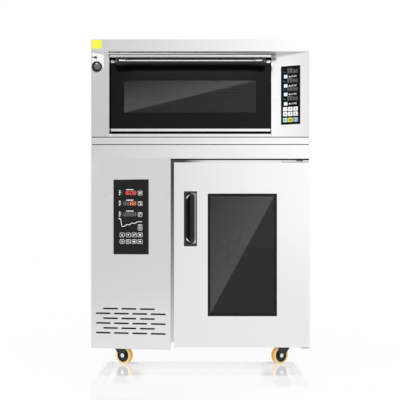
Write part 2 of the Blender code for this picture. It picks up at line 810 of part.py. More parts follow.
def oven_handle_bracket(side):
    # A foot on the glass, an arm up to the tube, a sleeve round it and a disc over its end.
    d, z = HANDLE_CENTRE
    foot = GLASS_FRONT - GAP
    sleeve = 0.0245
    inner = HANDLE_RADIUS + GAP
    ends = [DOOR_MIDDLE + side * reach for reach in (SLEEVE_REACH, HANDLE_HALF + 0.001)]
    profile = [(inner, ends[0]), (sleeve, ends[0]), (sleeve, ends[1]), (inner, ends[1])]
    ring = turned(profile, "X", HANDLE_CENTRE, 28, True)
    outline = arc(HANDLE_CENTRE, inner + 0.001, 65, -65, 8)
    outline += [(d + 0.012, z - 0.0270), (d + 0.026, 1.6600), (d + 0.044, 1.6450)]
    outline += [(foot, 1.6450), (foot, 1.7120), (d + 0.032, 1.7165), (d + 0.014, z + 0.0220)]
    low, high = sorted(DOOR_MIDDLE + side * reach for reach in (0.364, 0.412))
    arm = prism(outline, "X", low, high)
    low, high = sorted(DOOR_MIDDLE + side * reach for reach in (HANDLE_HALF + GAP, 0.4225))
    return joined(ring, arm, rod("X", HANDLE_CENTRE, sleeve, low, high, 28))


def oven_door(front):
    # All of the door turns on its shaft, so its pieces hang from an empty on that axis.
    d, z = DOOR_AXIS
    pivot = empty("oven_door_axis", (DOOR_MIDDLE, d, z), parent=front)
    back = (-DOOR_MIDDLE, -d, -z)
    node("oven_door_pan", oven_door_pan(), "steel", pivot, back)
    pane = (OVEN_DOOR[0], OVEN_DOOR[1], 1.334 + GAP, 1.709 - GAP)
    glass = loft([(*pane, GLASS_FRONT), (*pane, GLASS_FRONT + 0.006)])
    node("oven_door_glass", glass, "smoked_glass", pivot, back)
    inner_pane = grown(OVEN_WINDOW, 0.015)
    glass = loft([(*inner_pane, 0.1253), (*inner_pane, 0.1293)])
    node("oven_door_inner_glass", glass, "clear_glass", pivot, back)
    seal = (-0.505, 0.395, 1.351, 1.669)
    gasket = plate_ring(seal, grown(seal, -0.012), 0.1253, CHAMBER_FLANGE - GAP)
    node("oven_door_gasket", gasket, "rubber", pivot, back)
    low, high = DOOR_MIDDLE - HANDLE_HALF, DOOR_MIDDLE + HANDLE_HALF
    bore = HANDLE_RADIUS - 0.0015
    profile = [(bore, low), (HANDLE_RADIUS, low), (HANDLE_RADIUS, high), (bore, high)]
    tube = turned(profile, "X", HANDLE_CENTRE, 28, True)
    node("oven_handle_tube", tube, "black_steel", pivot, back)
    for name, side in (("left", -1), ("right", 1)):
        bracket = oven_handle_bracket(side)
        node("oven_handle_bracket_" + name, bracket, "black_plastic", pivot, back)
    shaft = rod("X", DOOR_AXIS, 0.006, RIM[0] - 0.008, RIM[1] + 0.008, 16)
    node("oven_door_hinge_shaft", shaft, "zinc", pivot, back)


# ---- Proofer door ----


def proofer_door_skin(handle):
    inner = grown(DOOR, -SHEET)
    near, far = DOOR_FRONT, DOOR_BACK - SHEET - GAP
    tray = loft([(*inner, near + SHEET), (*inner, far), (*DOOR, far), (*DOOR, near)])
    holes = [block(*WINDOW_HOLE[:2], near - THROUGH, near + THROUGH, *WINDOW_HOLE[2:])]
    holes.append(block(*handle[:2], near - THROUGH, near + THROUGH, *handle[2:]))
    for z in DOOR[2:]:
        holes.append(rod("Z", DOOR_PIN, 0.0063, z - THROUGH, z + THROUGH, 16))
    return cut(tray, *holes)


def proofer_window_frame():
    sleeve = grown(WINDOW_HOLE, -GAP)
    lip = grown(WINDOW_HOLE, 0.0055)
    sight = grown(sleeve, -0.008)
    seat = DOOR_FRONT - GAP
    rects = [(*lip, seat - 0.003), (*lip, seat), (*sleeve, seat), (*sleeve, DOOR_BACK - GAP)]
    rects += [(*sight, DOOR_BACK - GAP), (*sight, seat - 0.003)]
    return loft(rects, ring=True), sight


def proofer_door_handle(cup):
    # A cup let into the door: the fingers reach behind the lip at its left side.
    seat = DOOR_FRONT - GAP
    flange = grown(cup, 0.003)
    inner = grown(cup, -SHEET)
    mouth = (inner[0] + 0.013, inner[1] - 0.001, inner[2] + 0.003, inner[3] - 0.003)
    swell = (flange[0] + 0.003, mouth[0] - 0.003, flange[2] + 0.020, flange[3] - 0.020)
    shell = loft(
        [
            (*inner, -0.028),
            (*inner, seat + 0.0005),
            (*mouth, seat + 0.0005),
            (*mouth, seat - 0.0037),
            (*flange, seat - 0.0037),
            (*flange, seat),
            (*cup, seat),
            (*cup, -0.026),
        ]
    )
    grip = loft([(*swell, seat - 0.002), (*swell, -0.067), (*grown(swell, -0.003), -0.0695)])
    return joined(shell, grip)


def proofer_door(front):
    x, d = DOOR_PIN
    pivot = empty("proofer_door_axis", (x, d, 0.0), parent=front)
    back = (-x, -d, 0.0)
    cup = (-0.0865, -0.0225, 0.667, 0.9645)
    node("proofer_door_skin", proofer_door_skin(grown(cup, GAP)), "steel", pivot, back)
    plate = plate_ring(DOOR, WINDOW_HOLE, DOOR_BACK - SHEET, DOOR_BACK)
    node("proofer_door_back", plate, "steel", pivot, back)
    frame, sight = proofer_window_frame()
    node("proofer_window_frame", frame, "black_plastic", pivot, back)
    pane = grown(sight, -GAP)
    glass = loft([(*pane, DOOR_FRONT), (*pane, DOOR_FRONT + 0.018)])
    node("proofer_window_glass", glass, "smoked_glass", pivot, back)
    seal = (-0.125, 0.582, 0.129, 1.108)
    gasket = plate_ring(seal, grown(seal, -0.016), DOOR_BACK + GAP, FLANGE_FRONT - GAP)
    node("proofer_door_gasket", gasket, "rubber", pivot, back)
    node("proofer_door_handle", proofer_door_handle(cup), "black_plastic", pivot, back)


# ---- Casters ----


def fork_mesh():
    # The swivel axis is the local Z axis, and the wheel trails towards +X.
    bridge_low, bridge_high = 0.105, 0.1085
    leg_inner, leg_outer = 0.0175, 0.0205
    near, far = -0.034, 0.060
    outline = [(far, 0.107), (near, 0.107), (near + 0.006, 0.098)]
    outline += arc((TRAIL, AXLE_HEIGHT), 0.018, 212, 345, 7)
    legs = [prism(outline, "Y", *sorted((s * leg_inner, s * leg_outer))) for s in (-1, 1)]
    bridge = block(near, far, -leg_outer, leg_outer, bridge_low, bridge_high)
    head_top = BASE_BOTTOM + 0.0005 - GAP
    head = [(0.0, 0.107), (0.024, 0.107), (0.030, 0.112), (0.030, 0.120), (0.026, 0.123)]
    head += [(0.026, head_top), (0.0, head_top)]
    centre = (TRAIL, AXLE_HEIGHT)
    axle = rod("Y", centre, 0.006, -0.0240, 0.0240, 12)
    nuts = [rod("Y", centre, 0.0095, *sorted((s * 0.0200, s * 0.0255)), 6) for s in (-1, 1)]
    return joined(bridge, *legs, turned(head, "Z", (0.0, 0.0), 24), axle, *nuts)


def wheel_mesh():
    # Tyre with rounded shoulders on a hub with a recessed web; the axle is the local Y axis.
    half = WHEEL_WIDTH / 2
    side = [(0.0065, half), (0.0150, half), (0.0170, half - 0.004), (0.0345, half - 0.004)]
    side += [(0.0370, half - 0.001), (0.0440, half - 0.001), (0.0475, half - 0.003)]
    side += [(WHEEL_RADIUS, half - 0.007)]
    profile = side + [(radius, -along) for radius, along in reversed(side)]
    wheel = turned(profile, "Y", (0.0, 0.0), WHEEL_STEPS, True)
    wheel.transform(Matrix.Rotation(math.pi / WHEEL_STEPS, 4, "Y"))
    return wheel


def casters(front):
    fork, wheel = fork_mesh(), wheel_mesh()
    for name, (x, d, angle) in CASTERS.items():
        swivel = empty("swivel_" + name, (x, d, 0.0), math.radians(angle), front)
        axle = empty("axle_" + name, (TRAIL, 0.0, AXLE_HEIGHT), 0.0, swivel)
        node("caster_fork_" + name, fork.copy(), "black_steel", swivel)
        node("caster_wheel_" + name, wheel.copy(), "tyre", axle)


def build():
    clear_scene()
    front = empty("front_plane", (0.0, FRONT, 0.0))
    base_frame(front)
    proofer_side(front, "proofer_left_side", -1)
    proofer_side(front, "proofer_right_side", 1)
    proofer_back(front)
    proofer_top_panel(front)
    machine_bay_cover(front)
    proofer_liner(front)
    proofer_insulation(front)
    tray_rack(front, "tray_rack_left", -1)
    tray_rack(front, "tray_rack_right", 1)
    bay_face = empty("bay_face", (-0.384, bay_depth(-0.384), 0.8285), bay_turn(), front)
    proofer_control_panel(bay_face)
    compressor(front)
    condenser_coil(front)
    air_duct_panel(front)
    motor(front)
    fans(front)
    water_pan(front)
    hinge_upper(front)
    hinge_lower(front)
    oven_base_pan(front)
    oven_side(front, "oven_left_side", -1)
    oven_side(front, "oven_right_side", 1)
    oven_back(front)
    oven_top_cover(front)
    x = -0.581
    switch_face = empty("switch_face", (x, post_depth(x), 1.6706), POST_TILT, front)
    left_front_post(front, switch_face)
    right_front_post(front)
    oven_chamber(front)
    oven_insulation(front)
    hearth_plate(front)
    for name, z in HEATER_LEVELS.items():
        heater(front, name + "_heater", z)
    oven_lamp(front)
    steam_flue(front)
    x = 0.509
    post_face = empty("post_face", (x, post_depth(x), 1.517), -POST_TILT, front)
    oven_control_panel(post_face)
    switch_bezel(switch_face)
    switch_cap(switch_face)
    cable_gland(front)
    oven_door(front)
    proofer_door(front)
    casters(front)


build()
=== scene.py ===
# Bakery deck oven on a retarder-proofer: finishes, detail pieces, floor, lights and camera.
import math
import random

import bmesh
import bpy
from mathutils import Matrix, Vector


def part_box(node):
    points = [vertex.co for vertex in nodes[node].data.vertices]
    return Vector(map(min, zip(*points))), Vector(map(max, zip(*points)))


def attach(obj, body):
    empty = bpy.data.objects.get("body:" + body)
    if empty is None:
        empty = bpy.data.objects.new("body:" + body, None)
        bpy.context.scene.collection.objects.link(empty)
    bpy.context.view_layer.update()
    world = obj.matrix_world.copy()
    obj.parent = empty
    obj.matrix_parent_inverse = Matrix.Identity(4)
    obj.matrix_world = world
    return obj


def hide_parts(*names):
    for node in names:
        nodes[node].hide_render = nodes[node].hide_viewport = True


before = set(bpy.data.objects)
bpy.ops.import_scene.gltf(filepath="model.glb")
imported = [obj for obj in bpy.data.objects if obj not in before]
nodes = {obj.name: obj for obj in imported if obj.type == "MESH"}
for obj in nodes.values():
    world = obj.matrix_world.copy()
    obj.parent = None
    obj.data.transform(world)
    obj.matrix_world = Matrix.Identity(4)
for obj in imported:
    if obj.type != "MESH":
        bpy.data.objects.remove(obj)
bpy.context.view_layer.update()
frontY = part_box("oven_top_cover")[0][1]  # the plane that the header and the fascia stand in
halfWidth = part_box("oven_top_cover")[1][0]
skinEdge = halfWidth - 0.0023  # the front sheets start here, inside the side panels
postTilt = math.radians(20)  # how far the front posts' faces turn in
casterNames = ("front_left", "front_right", "rear_left", "rear_right")
print("frame loaded:", len(nodes), "nodes")


# Small tools for meshes

def meshFrom(form, name="shape", smoothAngle=35):
    bmesh.ops.recalc_face_normals(form, faces=form.faces)
    mesh = bpy.data.meshes.new(name)
    form.to_mesh(mesh)
    form.free()
    mesh.shade_smooth()
    mesh.set_sharp_from_angle(angle=math.radians(smoothAngle))
    return mesh


def addPiece(name, mesh, materials, body, place=None, replaces=()):
    if not isinstance(materials, (list, tuple)):
        materials = [materials]
    for material in materials:
        mesh.materials.append(material)
    piece = bpy.data.objects.new(name, mesh)
    bpy.context.scene.collection.objects.link(piece)
    if place is not None:
        piece.matrix_world = place
    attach(piece, body)
    if replaces:
        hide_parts(*replaces)
    return piece


def roundedRect(x0, x1, z0, z1, radius, steps=5, left=None):
    # Outline of a rectangle with round corners, anticlockwise; left is the left corners' radius
    left = radius if left is None else left
    outline = []
    corners = ((x1 - radius, z1 - radius, 0, radius), (x0 + left, z1 - left, 90, left),
               (x0 + left, z0 + left, 180, left), (x1 - radius, z0 + radius, 270, radius))
    for cx, cz, start, bend in corners:
        for step in range(steps + 1):
            angle = math.radians(start + 90 * step / steps)
            outline.append((cx + bend * math.cos(angle), cz + bend * math.sin(angle)))
    return outline


def circleOutline(cx, cz, radius, steps=24, start=0.0):
    turns = [start + 2 * math.pi * step / steps for step in range(steps)]
    return [(cx + radius * math.cos(a), cz + radius * math.sin(a)) for a in turns]


def middleOf(outline):
    return [sum(point[i] for point in outline) / len(outline) for i in (0, 1)]


def bridge(form, rings):
    # Faces between each ring of points and the next
    count = len(rings[0])
    return [form.faces.new((near[i], near[(i + 1) % count], far[(i + 1) % count], far[i]))
            for near, far in zip(rings, rings[1:]) for i in range(count)]


def addPrism(form, outline, y0, y1, material=0, edge=0.0):
    # Outline in x and z, swept from y0 (its back) to y1 (its front, with a broken edge)
    levels = [(y0, 0.0)]
    side = 1 if y1 > y0 else -1
    levels += [(y1 - side * edge, 0.0), (y1, edge)] if edge else [(y1, 0.0)]
    cx, cz = middleOf(outline)
    rings = []
    for y, inset in levels:
        ring = []
        for x, z in outline:
            reach = math.hypot(x - cx, z - cz) or 1.0
            scale = 1.0 - inset / reach
            ring.append(form.verts.new((cx + (x - cx) * scale, y, cz + (z - cz) * scale)))
        rings.append(ring)
    caps = [form.faces.new(rings[0]), form.faces.new(rings[-1])]
    for face in caps + bridge(form, rings):
        face.material_index = material


def addRing(form, outer, inner, y0, y1, material=0, edge=0.0):
    # Flat frame between two outlines with the same number of points
    side = 1 if y1 > y0 else -1
    profile = [(inner, y0, 0.0), (outer, y0, 0.0), (outer, y1 - side * edge, 0.0)]
    profile += [(outer, y1, -edge), (inner, y1, edge)] if edge else [(inner, y1, 0.0)]
    if edge:
        profile.append((inner, y1 - side * edge, 0.0))
    loops = []
    for outline, y, grow in profile:
        cx, cz = middleOf(outline)
        loop = []
        for x, z in outline:
            gx = math.copysign(grow, x - cx)
            gz = math.copysign(grow, z - cz)
            loop.append(form.verts.new((x + gx, y, z + gz)))
        loops.append(loop)
    for face in bridge(form, loops + loops[:1]):
        face.material_index = material


def addLathe(form, profile, steps=32, place=Matrix.Identity(4), material=0, closed=False):
    # Profile of (radius, place along Y) turned about the Y axis
    rings = []
    for radius, along in profile:
        count = steps if radius > 0 else 1
        ring = []
        for step in range(count):
            angle = 2 * math.pi * step / steps
            point = Vector((radius * math.cos(angle), along, radius * math.sin(angle)))
            ring.append(form.verts.new(place @ point))
        rings.append(ring)
    pairs = list(zip(rings, rings[1:]))
    if closed:
        pairs.append((rings[-1], rings[0]))
    for near, far in pairs:
        for step in range(steps):
            after = (step + 1) % steps
            corners = [near[step % len(near)], near[after % len(near)],
                       far[after % len(far)], far[step % len(far)]]
            face = form.faces.new(tuple(dict.fromkeys(corners)))
            face.material_index = material
    if not closed:
        for ring in (rings[0], rings[-1]):
            if len(ring) > 1:
                form.faces.new(ring).material_index = material


def sweepTube(form, path, radii, steps=24):
    # Round bar with closed ends along a path, with its own radius at each point
    path = [Vector(point) for point in path]
    rings = []
    for i, point in enumerate(path):
        along = (path[min(i + 1, len(path) - 1)] - path[max(i - 1, 0)]).normalized()
        if i == 0:
            across = along.orthogonal().normalized()
        else:
            across = (across - along * across.dot(along)).normalized()
        up = along.cross(across)
        ring = []
        for step in range(steps):
            angle = 2 * math.pi * step / steps
            offset = (across * math.cos(angle) + up * math.sin(angle)) * radii[i]
            ring.append(form.verts.new(point + offset))
        rings.append(ring)
    bridge(form, rings)
    form.faces.new(rings[0])
    form.faces.new(rings[-1])


def addBox(form, low, high, edge=0.0, material=0, place=None):
    start = len(form.verts)
    size = [high[i] - low[i] for i in range(3)]
    middle = Matrix.Translation([(high[i] + low[i]) / 2 for i in range(3)])
    made = bmesh.ops.create_cube(form, size=1.0, matrix=middle @ Matrix.Diagonal((*size, 1.0)))
    verts = made["verts"]
    if edge:
        edges = list({e for v in verts for e in v.link_edges})
        made = bmesh.ops.bevel(form, geom=edges, offset=edge, segments=2, profile=0.5,
                               affect="EDGES")
        verts = made["verts"]
    for face in {f for v in verts for f in v.link_faces}:
        face.material_index = material
    if place is not None:
        form.verts.ensure_lookup_table()
        bmesh.ops.transform(form, matrix=place, verts=form.verts[start:])


def screwHeads(places, outward, radius=0.0042):
    # Pan-head screws with a cross recess; each place is the point where the head sits
    form = bmesh.new()
    turn = Vector((0, -1, 0)).rotation_difference(Vector(outward)).to_matrix().to_4x4()
    profile = [(radius, 0.0006), (radius, -0.0008), (radius * 0.86, -0.0019),
               (radius * 0.45, -0.0024), (0.0, -0.0025)]
    rng = random.Random(len(places))
    for point in places:
        place = Matrix.Translation(point) @ turn @ Matrix.Rotation(rng.uniform(0, 3), 4, "Y")
        addLathe(form, profile, 18, place)
        for angle in (0, math.pi / 2):
            bar = place @ Matrix.Rotation(angle, 4, "Y")
            low, high = (-radius * 0.5, -0.0027, -0.0004), (radius * 0.5, -0.0021, 0.0004)
            addBox(form, low, high, material=1, place=bar)
    return meshFrom(form)


def faceOf(x, z, depth, turn):
    # Frame of a slanted sheet's face at x, with its outward side towards -Y
    return Matrix.Translation((x, frontY + depth, z)) @ Matrix.Rotation(turn, 4, "Z")


def postFace(x, z):
    # The same on a front post
    turn = -math.copysign(postTilt, x)
    return faceOf(x, z, (skinEdge - abs(x)) * math.tan(postTilt), turn)


# Finishes

class Wires:
    # Short way of adding shader nodes to one material or world
    def __init__(self, tree):
        self.tree = tree

    def add(self, kind, settings=None, **inputs):
        node = self.tree.nodes.new("ShaderNode" + kind)
        for key, value in (settings or {}).items():
            setattr(node, key, value)
        for key, value in inputs.items():
            self.put(node.inputs[key.replace("_", " ")], value)
        return node

    def put(self, socket, value):
        if isinstance(value, bpy.types.NodeSocket):
            self.tree.links.new(value, socket)
        else:
            socket.default_value = value

    def math(self, operation, *values):
        node = self.tree.nodes.new("ShaderNodeMath")
        node.operation = operation
        for socket, value in zip(node.inputs, values):
            self.put(socket, value)
        return node.outputs[0]

    def scaled(self, vector, scale):
        return self.add("Mapping", Vector=vector, Scale=scale).outputs["Vector"]

    def place(self):
        return self.add("TexCoord").outputs["Object"]

    def split(self, vector):
        return self.add("SeparateXYZ", Vector=vector).outputs

    def bump(self, shader, strength, distance, height):
        node = self.add("Bump", Strength=strength, Distance=distance, Height=height)
        self.put(shader.inputs["Normal"], node.outputs["Normal"])

    def noise(self, vector, scale, detail=3.0, rough=0.55):
        node = self.add("TexNoise", Vector=vector, Scale=scale, Detail=detail, Roughness=rough)
        return node.outputs["Fac"]

    def spread(self, value, low, high, fromLow=0.0, fromHigh=1.0, smooth=False):
        node = self.tree.nodes.new("ShaderNodeMapRange")
        node.interpolation_type = "SMOOTHSTEP" if smooth else "LINEAR"
        for socket, item in zip(node.inputs, (value, fromLow, fromHigh, low, high)):
            self.put(socket, item)
        return node.outputs[0]

    def blend(self, factor, first, second, mode="MIX"):
        node = self.tree.nodes.new("ShaderNodeMix")
        node.data_type = "RGBA"
        node.blend_type = mode
        self.put(node.inputs[0], factor)
        self.put(node.inputs[6], first)
        self.put(node.inputs[7], second)
        return node.outputs[2]


def rgba(colour):
    return (*colour, 1.0)


def newMaterial(name, colour, metallic, roughness, ior=1.5, level=0.5):
    material = bpy.data.materials.new(name)
    material.use_nodes = True
    material.diffuse_color = rgba(colour)
    shader = material.node_tree.nodes["Principled BSDF"]
    shader.inputs["Base Color"].default_value = rgba(colour)
    shader.inputs["Metallic"].default_value = metallic
    shader.inputs["Roughness"].default_value = roughness
    shader.inputs["IOR"].default_value = ior
    shader.inputs["Specular IOR Level"].default_value = level
    return material, Wires(material.node_tree), shader


def tinted(wires, colour, factor, by):
    # The colour, made darker and lighter by a noise
    dark = [c * (1 - by) for c in colour]
    light = [min(1.0, c * (1 + by)) for c in colour]
    return wires.blend(factor, rgba(dark), rgba(light))


def brushedSteel(name, look):
    # Grain runs level on upright faces and from side to side on level ones
    material, wires, shader = newMaterial(name, look["colour"], 1.0, look["roughness"])
    coords = wires.add("TexCoord")
    place = coords.outputs["Object"]
    upright = wires.noise(wires.scaled(place, (2.0, 2.0, look["grain"])), 1.0, 4.0, 0.65)
    level = wires.noise(wires.scaled(place, (2.0, look["grain"], 2.0)), 1.0, 4.0, 0.65)
    facing = wires.split(coords.outputs["Normal"])["Z"]
    lying = wires.math("GREATER_THAN", wires.math("ABSOLUTE", facing), 0.7)
    grain = wires.add("Mix", Factor=lying, A=upright, B=level).outputs[0]
    cloud = wires.noise(place, 3.1, 3.0)
    smudge = wires.noise(wires.scaled(place, (9.0, 9.0, 14.0)), 1.0, 5.0, 0.7)
    streak = wires.math("MULTIPLY_ADD", grain, look["grainRough"], look["roughness"])
    streak = wires.math("SUBTRACT", streak, look["grainRough"] / 2)
    hazy = wires.spread(smudge, 0.0, look["smudge"], 0.52, 0.80, True)
    wires.put(shader.inputs["Roughness"], wires.math("ADD", streak, hazy))
    colour = tinted(wires, look["colour"], cloud, look["cloud"])
    colour = wires.blend(0.10, colour, tinted(wires, look["colour"], grain, 0.30))
    wires.put(shader.inputs["Base Color"], colour)
    wires.bump(shader, look["bump"], 0.0002, grain)
    return material


def enamelledFront(name, look, shadeLook, start, end, shadeFade=None):
    # The same steel, with a black coat between two depths behind the front plane: painted shade
    # for the dark gaps round the doors;
    # the last argument gives the heights and the reach across over which this painted shade thins
    # out to plain steel
    material = brushedSteel(name, look)
    tree = material.node_tree
    wires = Wires(tree)
    steel = tree.nodes["Principled BSDF"]
    shadeCoat = tree.nodes.new("ShaderNodeBsdfPrincipled")
    shadeCoat.inputs["Base Color"].default_value = rgba(shadeLook["colour"])
    shadeCoat.inputs["Roughness"].default_value = shadeLook["roughness"]
    shadeCoat.inputs["Specular IOR Level"].default_value = shadeLook["level"]
    spot = wires.split(wires.place())
    depth = wires.math("SUBTRACT", spot["Y"], frontY)
    inside = wires.math("MULTIPLY", wires.math("GREATER_THAN", depth, start),
                        wires.math("LESS_THAN", depth, end))
    # painted shade: the black is strongest at the top left and thins out downwards and to the
    # right
    if shadeFade:
        down = wires.spread(spot["Z"], 1.0, 0.0, shadeFade["low"], shadeFade["high"])
        down = wires.math("MULTIPLY_ADD", wires.math("POWER", down, 1.6), 0.9, 0.1)
        across = wires.spread(spot["X"], 0.0, 1.0, shadeFade["left"], shadeFade["right"], True)
        shown = wires.math("MAXIMUM", down, across)
        inside = wires.math("MULTIPLY", inside, wires.math("SUBTRACT", 1.0, shown))
    both = wires.add("MixShader", Fac=inside)
    tree.links.new(steel.outputs[0], both.inputs[1])
    tree.links.new(shadeCoat.outputs[0], both.inputs[2])
    tree.links.new(both.outputs[0], tree.nodes["Material Output"].inputs["Surface"])
    return material


def fadedSteel(name, look, fade):
    # The same steel with a painted reflection: its colour runs from light on the left to dark on
    # the right
    material = brushedSteel(name, look)
    wires = Wires(material.node_tree)
    across = wires.split(wires.place())["X"]
    share = wires.spread(across, 0.0, 1.0, *fade["reach"])
    colour = wires.blend(share, rgba([fade["left"]] * 3), rgba([fade["right"]] * 3))
    wires.put(material.node_tree.nodes["Principled BSDF"].inputs["Base Color"], colour)
    return material


def zincSheet(name, look):
    # Galvanised sheet with a soft spangle
    material, wires, shader = newMaterial(name, look["colour"], 1.0, look["roughness"])
    place = wires.place()
    cells = wires.add("TexVoronoi", Vector=place, Scale=look["spangle"])
    flake = wires.add("SeparateColor", Color=cells.outputs["Color"]).outputs[0]
    dull = wires.noise(place, 5.0, 4.0)
    wires.put(shader.inputs["Base Color"], tinted(wires, look["colour"], flake, look["vary"]))
    rough = wires.math("MULTIPLY_ADD", flake, 0.12, look["roughness"] - 0.06)
    rough = wires.math("ADD", rough, wires.spread(dull, -0.05, 0.10))
    wires.put(shader.inputs["Roughness"], rough)
    wires.bump(shader, 0.05, 0.0003, flake)
    return material


def moulded(name, look):
    # Plastic, paint or rubber with a fine skin and faint handling marks
    material, wires, shader = newMaterial(
        name, look["colour"], look.get("metallic", 0.0), look["roughness"],
        look.get("ior", 1.5), look.get("level", 0.5))
    place = wires.place()
    skin = wires.noise(place, look["skin"], 2.0)
    worn = wires.noise(place, 14.0, 5.0, 0.65)
    rough = wires.spread(worn, look["roughness"] * 0.82, look["roughness"] * 1.22, 0.3, 0.7)
    wires.put(shader.inputs["Roughness"], rough)
    wires.put(shader.inputs["Base Color"], tinted(wires, look["colour"], worn, look["vary"]))
    wires.bump(shader, look["bump"], 0.0004, skin)
    return material


def tintedGlass(name, look):
    material, wires, shader = newMaterial(
        name, look["colour"], 0.0, look["roughness"], look["ior"])
    shader.inputs["Transmission Weight"].default_value = look["clear"]
    place = wires.place()
    wiped = wires.noise(wires.scaled(place, (4.0, 4.0, 11.0)), 1.0, 4.0)
    film = wires.spread(wiped, look["roughness"], look["roughness"] + look["film"], 0.45, 0.75)
    wires.put(shader.inputs["Roughness"], film)
    wires.put(shader.inputs["Base Color"], tinted(wires, look["colour"], wiped, 0.04))
    return material


def woolBatt(name, look):
    material, wires, shader = newMaterial(name, look["colour"], 0.0, 0.95)
    place = wires.place()
    fibre = wires.noise(wires.scaled(place, (60.0, 60.0, 260.0)), 1.0, 6.0, 0.75)
    lump = wires.noise(place, 12.0, 4.0)
    wires.put(shader.inputs["Base Color"], tinted(wires, look["colour"], fibre, 0.35))
    height = wires.math("MULTIPLY_ADD", lump, 2.0, fibre)
    wires.bump(shader, 0.6, 0.002, height)
    return material


def castTyre(name, look):
    # Clear amber polyurethane: deeper at the tread, paler towards the hub, dusty where it rolls
    material, wires, shader = newMaterial(name, look["tread"], 0.0, look["roughness"])
    place = wires.place()
    across = wires.math("ABSOLUTE", wires.split(place)["Y"])
    flank = wires.spread(across, 0.0, 1.0, 0.0095, 0.0145, True)
    colour = wires.blend(flank, rgba(look["tread"]), rgba(look["flank"]))
    dust = wires.spread(wires.noise(place, 90.0, 5.0, 0.7), 0.0, look["dust"], 0.5, 0.75)
    wires.put(shader.inputs["Base Color"], wires.blend(dust, colour, rgba(look["dirt"])))
    wires.put(shader.inputs["Emission Color"], colour)  # painted glow, standing in for light that the clear tyre passes on
    shader.inputs["Emission Strength"].default_value = look["glow"]
    rough = wires.math("MULTIPLY_ADD", dust, 0.5, look["roughness"])
    wires.put(shader.inputs["Roughness"], rough)
    wires.bump(shader, 0.15, 0.0005, wires.noise(place, 240.0))
    return material


def addGlow(material, colour, strength):
    inputs = material.node_tree.nodes["Principled BSDF"].inputs
    inputs["Emission Color"].default_value = rgba(colour)
    inputs["Emission Strength"].default_value = strength


def litInk(name, colour, glow=0.0, roughness=0.35):
    # Printed and lit marks of the keypads; a glow on a printed mark is painted light
    material, wires, shader = newMaterial(name, colour, 0.0, roughness)
    place = wires.place()
    grain = wires.noise(place, 700.0, 2.0)
    wires.put(shader.inputs["Base Color"], tinted(wires, colour, grain, 0.05))
    if glow:
        addGlow(material, colour, glow)
    return material


steelLook = {
    "sheet": {"colour": (0.83, 0.83, 0.825), "roughness": 0.24, "grain": 900.0,
              "grainRough": 0.09, "smudge": 0.04, "cloud": 0.010, "bump": 0.05},
    "bar": {"colour": (0.84, 0.84, 0.835), "roughness": 0.20, "grain": 700.0,
            "grainRough": 0.06, "smudge": 0.03, "cloud": 0.010, "bump": 0.03},
    "scoop": {"colour": (0.34, 0.34, 0.345), "roughness": 0.24, "grain": 700.0,
              "grainRough": 0.05, "smudge": 0.02, "cloud": 0.010, "bump": 0.01},
    "liner": {"colour": (0.80, 0.795, 0.785), "roughness": 0.30, "grain": 500.0,
              "grainRough": 0.10, "smudge": 0.06, "cloud": 0.02, "bump": 0.05},
    "base": {"colour": (0.95, 0.95, 0.945), "roughness": 0.30, "grain": 500.0,
             "grainRough": 0.10, "smudge": 0.03, "cloud": 0.010, "bump": 0.04},
    "chamber": {"colour": (0.60, 0.585, 0.56), "roughness": 0.36, "grain": 500.0,
                "grainRough": 0.12, "smudge": 0.14, "cloud": 0.07, "bump": 0.06},
    "hearth": {"colour": (0.40, 0.385, 0.37), "roughness": 0.46, "grain": 380.0,
               "grainRough": 0.14, "smudge": 0.16, "cloud": 0.16, "bump": 0.10},
}
sheetSteel = brushedSteel("sheet_steel", steelLook["sheet"])
barSteel = brushedSteel("bar_steel", steelLook["bar"])
scoopSteel = brushedSteel("scoop_steel", steelLook["scoop"])
baseSteel = brushedSteel("base_steel", steelLook["base"])
chamberSteel = brushedSteel("chamber_steel", steelLook["chamber"])
hearthSteel = brushedSteel("hearth_steel", steelLook["hearth"])

zincBack = zincSheet("zinc_back", {"colour": (0.72, 0.73, 0.74), "roughness": 0.42,
                                   "spangle": 70.0, "vary": 0.10})
zincFitting = zincSheet("zinc_fitting", {"colour": (0.66, 0.66, 0.66), "roughness": 0.30,
                                         "spangle": 400.0, "vary": 0.06})

